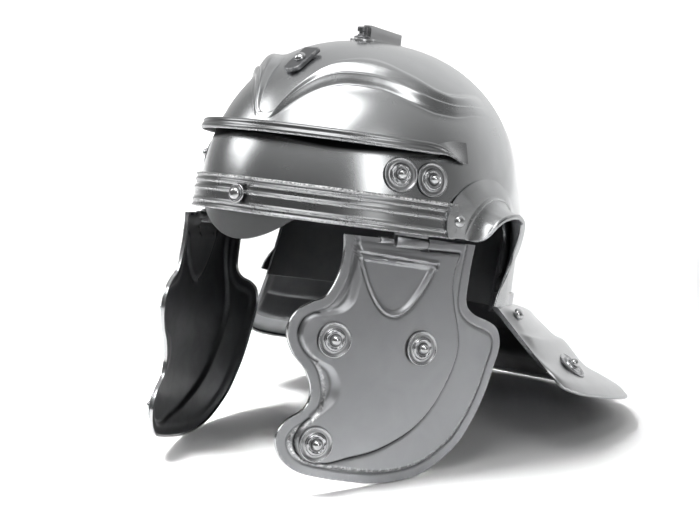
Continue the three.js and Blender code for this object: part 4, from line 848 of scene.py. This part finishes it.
def buildHinges():
    # along the pin: a tube of the guard, the strap's squared knuckle and a second tube
    tube, wide, knuckle = hinge["tubeLength"], hinge["length"], hinge["knuckle"]
    first, second = hinge["start"] - hinge["slit"] - tube, hinge["start"] + wide + hinge["gap"]
    for name, radius, start, length, square, body, slot in (
            ("cheek_tube_front", hinge["tube"], first, tube, 2.0, "cheek_guard", "plate_steel"),
            ("cheek_tube_rear", hinge["tube"], second, tube, 2.0, "cheek_guard", "plate_steel"),
            ("strap_knuckle", knuckle, hinge["start"], wide, hinge["square"], "helmet", "fittings_steel")):
        at = hingeAxis + start * alongHinge
        grid = turnedGrid(tubeProfile(radius, length), at, alongHinge, 40, square=square)
        bothSides(name, grid, guardSteel, body=body, slot=slot, around=True, ring=True)
    # leaf: up the inside of the bowl from the knuckle
    axis = hingeAxis + np.linspace(hinge["start"], hinge["start"] + wide, 20)[None, :, None] * alongHinge
    t = np.arctan2(axis[..., 0] / bowl["halfWidth"], -axis[..., 1] / bowl["halfLength"])
    levels = np.array([hinge["leaf"], 15, 10, 5, bowl["browRise"]])[:, None]
    climb = [bowlPoint(t, levels, -steelSheet - 0.6 - depth) for depth in (0, steelSheet)]
    foot = [axis - outHinge * (1.5 + depth) + downPlate * 1.5 for depth in (-steelSheet, 0)]
    grid = np.vstack([climb[0], *foot, climb[1][::-1]])
    bothSides("strap_leaf", grid, forgedSteel, ["hinge_strap"], ring=True)
    long, r = wide + hinge["slit"] + hinge["gap"] + 2 * tube, hinge["pin"]
    profile = np.array([(r - 0.4, 0), (r, 0.3), (r, long - 0.3), (r - 0.4, long)])
    at = hingeAxis + alongHinge * first
    turnedPiece(bothSides, "hinge_rod", "hinge_pin", profile, at, alongHinge, 24, forgedSteel)


buildHinges()
print("hinges pinned")


# Crest fittings

crest = {"length": 32.5, "width": 7.0, "height": 7.4, "wall": 1.2, "tilt": 2.6, "shift": -1.2, "seat": 126.2,
         "disc": 8.2, "strip": 5.2, "tail": 4.0, "pinShift": 4.0, "thick": 1.5}
hook = {"length": 27.0, "width": 13.0, "thick": 2.9, "edge": 0.7, "corner": 0.8}


def bowlTop(x, y):
    # height of the bowl over a point of the plan: the same superellipse solved for z
    out = np.hypot(x / bowl["halfWidth"], y / bowl["halfLength"])
    return bowl["crown"] * (1 - out ** bowl["power"]) ** (1 / bowl["power"])


def buildCrest():
    front, rear = crest["shift"] - crest["length"] / 2, crest["shift"] + crest["length"] / 2
    # channel: an upturned trough whose walls stand on the bowl and whose roof falls slightly to the rear
    half, e = crest["width"] / 2, 0.35
    room = half - crest["wall"]
    wall = [(half - e, 1), (half, 1 - e / 10), (half, 0.5), (half, 0)]
    trough = [(room, 0), (room, 0.9), (-room, 0.9), (-room, 0)]
    section = np.array([(-x, z) for x, z in wall[::-1]] + wall + trough)
    y = np.concatenate([[front, front + 0.2], np.linspace(front + 1, rear - 1, 24), [rear - 0.2, rear]])
    x, y = np.broadcast_arrays(section[:, :1], y)
    top = crest["seat"] + crest["height"] - (y - crest["shift"]) * np.sin(crest["tilt"] * degree)
    foot = bowlTop(x, y) + 0.15
    grid = np.stack([x, y, foot + (top - foot) * section[:, 1:]], -1)
    # the inside of the trough painted black as shade
    meshFrom("crest_channel", grid, satinSteel, ["crest_box"], ring=True, lining=[(8, 11, blackShadeSteel)])
    # base: a disc round the pin running into a strip, bent to the bowl
    pinY, disc = front - crest["pinShift"], crest["disc"]
    y = np.concatenate([pinY - disc * np.cos(np.linspace(0.06, 2.25, 30)),
                        np.linspace(pinY + 6.4, rear + crest["tail"], 30)])
    wide = np.where(y < pinY + 5.5, np.sqrt(np.maximum(disc ** 2 - (y - pinY) ** 2, 0.2)), crest["strip"])
    loop = np.array([(-1, 0), (-1, 0.6), (-0.96, 0.95), (-0.7, 1), (0, 1), (0.7, 1), (0.96, 0.95), (1, 0.6),
                     (1, 0), (0.5, 0), (0, 0), (-0.5, 0)])
    x, y = np.broadcast_arrays(loop[:, :1] * wide, y)
    grid = np.stack([x, y, bowlTop(x, y) + 0.2 + loop[:, 1:] * crest["thick"]], -1)
    meshFrom("crest_strip", grid, satinSteel, ["crest_base"], ring=True)
    # pin: a flanged nut, a stem and a domed head
    pinZ = bowlTop(0, pinY)
    normal = bowlNormal(0.0, pinZ)
    profile = rounded([(5.4, 0), (5.6, 0.5), (5.0, 1.3), (3.3, 1.8), (3.1, 2.6), (2.3, 2.9), (2.2, 4.1),
                       (3.3, 4.3), (3.5, 4.8), (3.5, 6.9), (3.0, 7.6), (0.3, 7.8)], 40)
    at = np.array([0, pinY, pinZ]) + normal * (0.3 + crest["thick"])
    turnedPiece(meshFrom, "crest_pin_nut", "crest_pin", profile, at, normal, 48, forgedSteel)


def buildHook():
    # bar with a round front end: its outline shrunk over each edge, so that the edges catch the light
    reach, half, thick = hook["length"] / 2, hook["width"] / 2, hook["thick"]
    e, corner = hook["edge"], hook["corner"]
    arc = np.linspace(-np.pi / 2, np.pi / 2, 40)
    roundEnd = np.stack([half - reach - half * np.cos(arc), half * np.sin(arc)], 1)
    outline = np.vstack([roundEnd, [(0, half), (reach - corner, half), (reach, half - corner), (reach, 0),
                                    (reach, corner - half), (reach - corner, -half), (0, -half)]])
    # how far the outline is drawn in at each height
    steps = np.array([(0.3, 0), (0, 0.3), (0, thick - e), (0.3 * e, thick - 0.3 * e), (e, thick),
                      (e + 0.8, thick)])
    flat = outline[None] * (1 - steps[:, :1, None] / np.array([reach, half]))
    middle = nodeMiddle("crest_hook")
    normal = bowlNormal(0.0, bowlTop(0, middle[1] - 0.5))
    foot = middle - normal * (thick / 2)
    along, across = np.array([0, normal[2], -normal[1]]), np.array([1.0, 0, 0])
    grid = foot + flat[..., :1] * along + flat[..., 1:] * across + steps[:, None, 1:] * normal
    # upper edges rubbed and whitened: partly wear, partly a painted highlight
    wear_and_highlight = np.zeros((len(steps), 1))
    wear_and_highlight[2:5] = 0.3
    meshFrom("crest_hook_bar", grid, forgedSteel, ["crest_hook"], around=True,
             poles=(foot, foot + normal * thick), marks={"wear_and_highlight": wear_and_highlight})
    buildRivet(meshFrom, "crest_hook_rivet_dome", "crest_hook_rivet", foot + normal * (thick - 0.1), normal)


buildCrest()
buildHook()
print("crest fittings set")


# Floor, light and camera

studio = {
    "paper": 3.4, "panel": 3.2, "room": 1.0, "away": 1.6,
    # name, metres behind the helmet, height, size, glow, spread in degrees
    "sweep": (("lamp behind the helmet", 1.95, 1.8, 2.2, 1.5, 50),
              ("lamp along the sweep", 9.6, 2.4, 14.0, 1.7, 180),
              ("lamp over the room", 0.0, 5.0, 16.0, 0.2, 180)),
    # brightness of the room from before the helmet to behind it, and what the ceiling adds with height
    "wall": ((0.0, 0.13), (0.3, 0.17), (0.5, 0.33), (0.72, 0.60), (0.83, 0.76), (1.0, 1.0)),
    "ceiling": ((0.0, 0.0), (0.4, 0.0), (0.6, 0.12), (0.8, 0.28), (0.95, 0.42), (1.0, 0.45)),
}
panels = {
    # degrees round from the brow to the wearer's left, degrees up, width and height in degrees, share of panel
    "window box, wearer's right": (-62, 33, 24, 26, 0.9),
    "window box, wearer's left": (65, 26, 15, 34, 0.9),
    "high box before the brow": (5, 68, 44, 28, 1.0),
}


def facing(turn, rise):
    # the way from the helmet towards a place given in degrees round and up
    flat = np.cos(rise * degree)
    return Vector((np.sin(turn * degree) * flat, -np.cos(turn * degree) * flat, np.sin(rise * degree)))


def addPanel(name, place, aim, width, tall, glow, hidden=False, spread=180):
    # an area lamp of a given brightness; power is brightness times pi times its area
    lamp = bpy.data.lights.new(name, "AREA")
    lamp.shape, lamp.size, lamp.size_y, lamp.energy = "RECTANGLE", width, tall, glow * np.pi * width * tall
    lamp.spread = spread * degree
    obj = bpy.data.objects.new(name, lamp)
    obj.matrix_world = Matrix.Translation(place) @ (aim - place).to_track_quat("-Z", "Y").to_matrix().to_4x4()
    obj.visible_glossy = not hidden
    bpy.context.collection.objects.link(obj)


def buildStudio():
    # a white paper sweep lit from above and behind; panels and a graded room give the steel its reflections
    mesh = bpy.data.meshes.new("studio_floor")
    mesh.from_pydata([(-40, -40, 0), (40, -40, 0), (40, 40, 0), (-40, 40, 0)], [], [(0, 1, 2, 3)])
    floor = bpy.data.objects.new("studio_floor", mesh)
    bpy.context.collection.objects.link(floor)
    paper = bpy.data.materials.new("white paper sweep")
    paper.use_nodes = True
    shader = paper.node_tree.nodes["Principled BSDF"]
    shader.inputs["Base Color"].default_value = linearColour("#f6f6f6")
    shader.inputs["Roughness"].default_value = 0.8
    mesh.materials.append(paper)

    world = bpy.data.worlds.new("studio room")
    bpy.context.scene.world = world
    world.use_nodes = True
    tree = world.node_tree
    where = addNode(tree, "ShaderNodeTexCoord").outputs["Generated"]
    toWall = addNode(tree, "ShaderNodeVectorMath", {0: where, 1: facing(-165, 0)}, operation="DOT_PRODUCT")
    height = addNode(tree, "ShaderNodeSeparateXYZ", {"Vector": where})
    colours = []
    for value, stops in ((toWall.outputs["Value"], studio["wall"]), (height.outputs["Z"], studio["ceiling"])):
        ramp = addNode(tree, "ShaderNodeValToRGB", {"Fac": value})
        while len(ramp.color_ramp.elements) < len(stops):
            ramp.color_ramp.elements.new(0.5)
        for element, (position, level) in zip(ramp.color_ramp.elements, stops):
            element.position, element.color = position, (level, level, level, 1)
        colours.append(ramp.outputs["Color"])
    both = addNode(tree, "ShaderNodeVectorMath", dict(enumerate(colours)), operation="ADD")
    back = tree.nodes["Background"]
    tree.links.new(both.outputs[0], back.inputs["Color"])
    back.inputs["Strength"].default_value = studio["room"]
    world.cycles_visibility.diffuse = False  # the paper is lit by the lamps alone

    middle, away = Vector((0, 0, 0.14)), studio["away"]
    for name, (turn, rise, wide, tall, share) in panels.items():
        size = [2 * away * np.tan(angle / 2 * degree) for angle in (wide, tall)]
        addPanel(name, middle + facing(turn, rise) * away, middle, *size, studio["panel"] * share)
    # lamps that only whiten the paper: over the helmet, close behind it, far along the sweep, and over all
    addPanel("lamp over the table", Vector((-0.50, -0.50, 1.5)), Vector((-0.09, -0.14, 0)), 0.6, 0.6,
             studio["paper"], True, 42)
    behind = facing(-140, 0)
    for name, away, rise, size, glow, spread in studio["sweep"]:
        spot = behind * away
        addPanel(name, spot + Vector((0, 0, rise)), spot - behind * 0.001, size, size, glow, True, spread)


buildStudio()

camera = {"turn": 40.085, "rise": 1.463, "roll": 7.472, "away": 1229.88, "lens": 93.39, "right": -5.837,
          "up": -24.25}


def buildCamera():
    # fitted to the photograph in the helmet frame: turn, rise, roll, distance and two small shifts
    a, e, r = (camera[key] * degree for key in ("turn", "rise", "roll"))
    back = np.array([np.sin(a) * np.cos(e), -np.cos(a) * np.cos(e), np.sin(e)])
    right = np.array([np.cos(a), np.sin(a), 0])
    up = np.cross(back, right)
    across, upward = np.cos(r) * right + np.sin(r) * up, -np.sin(r) * right + np.cos(r) * up
    place = np.eye(4)
    for k, axis in enumerate((across, upward, back)):
        place[:3, k] = (toRow(axis) - toRow(np.zeros(3))) * 1000
    place[:3, 3] = toRow(back * camera["away"] + across * camera["right"] + upward * camera["up"])
    lens = bpy.data.cameras.new("camera")
    lens.lens, lens.sensor_width, lens.clip_start, lens.clip_end = camera["lens"], 36, 0.05, 200
    obj = bpy.data.objects.new("camera", lens)
    obj.matrix_world = Matrix(place.tolist())
    bpy.context.collection.objects.link(obj)
    bpy.context.scene.camera = obj


buildCamera()
bpy.context.scene.view_settings.view_transform = "Standard"
print("studio lit")
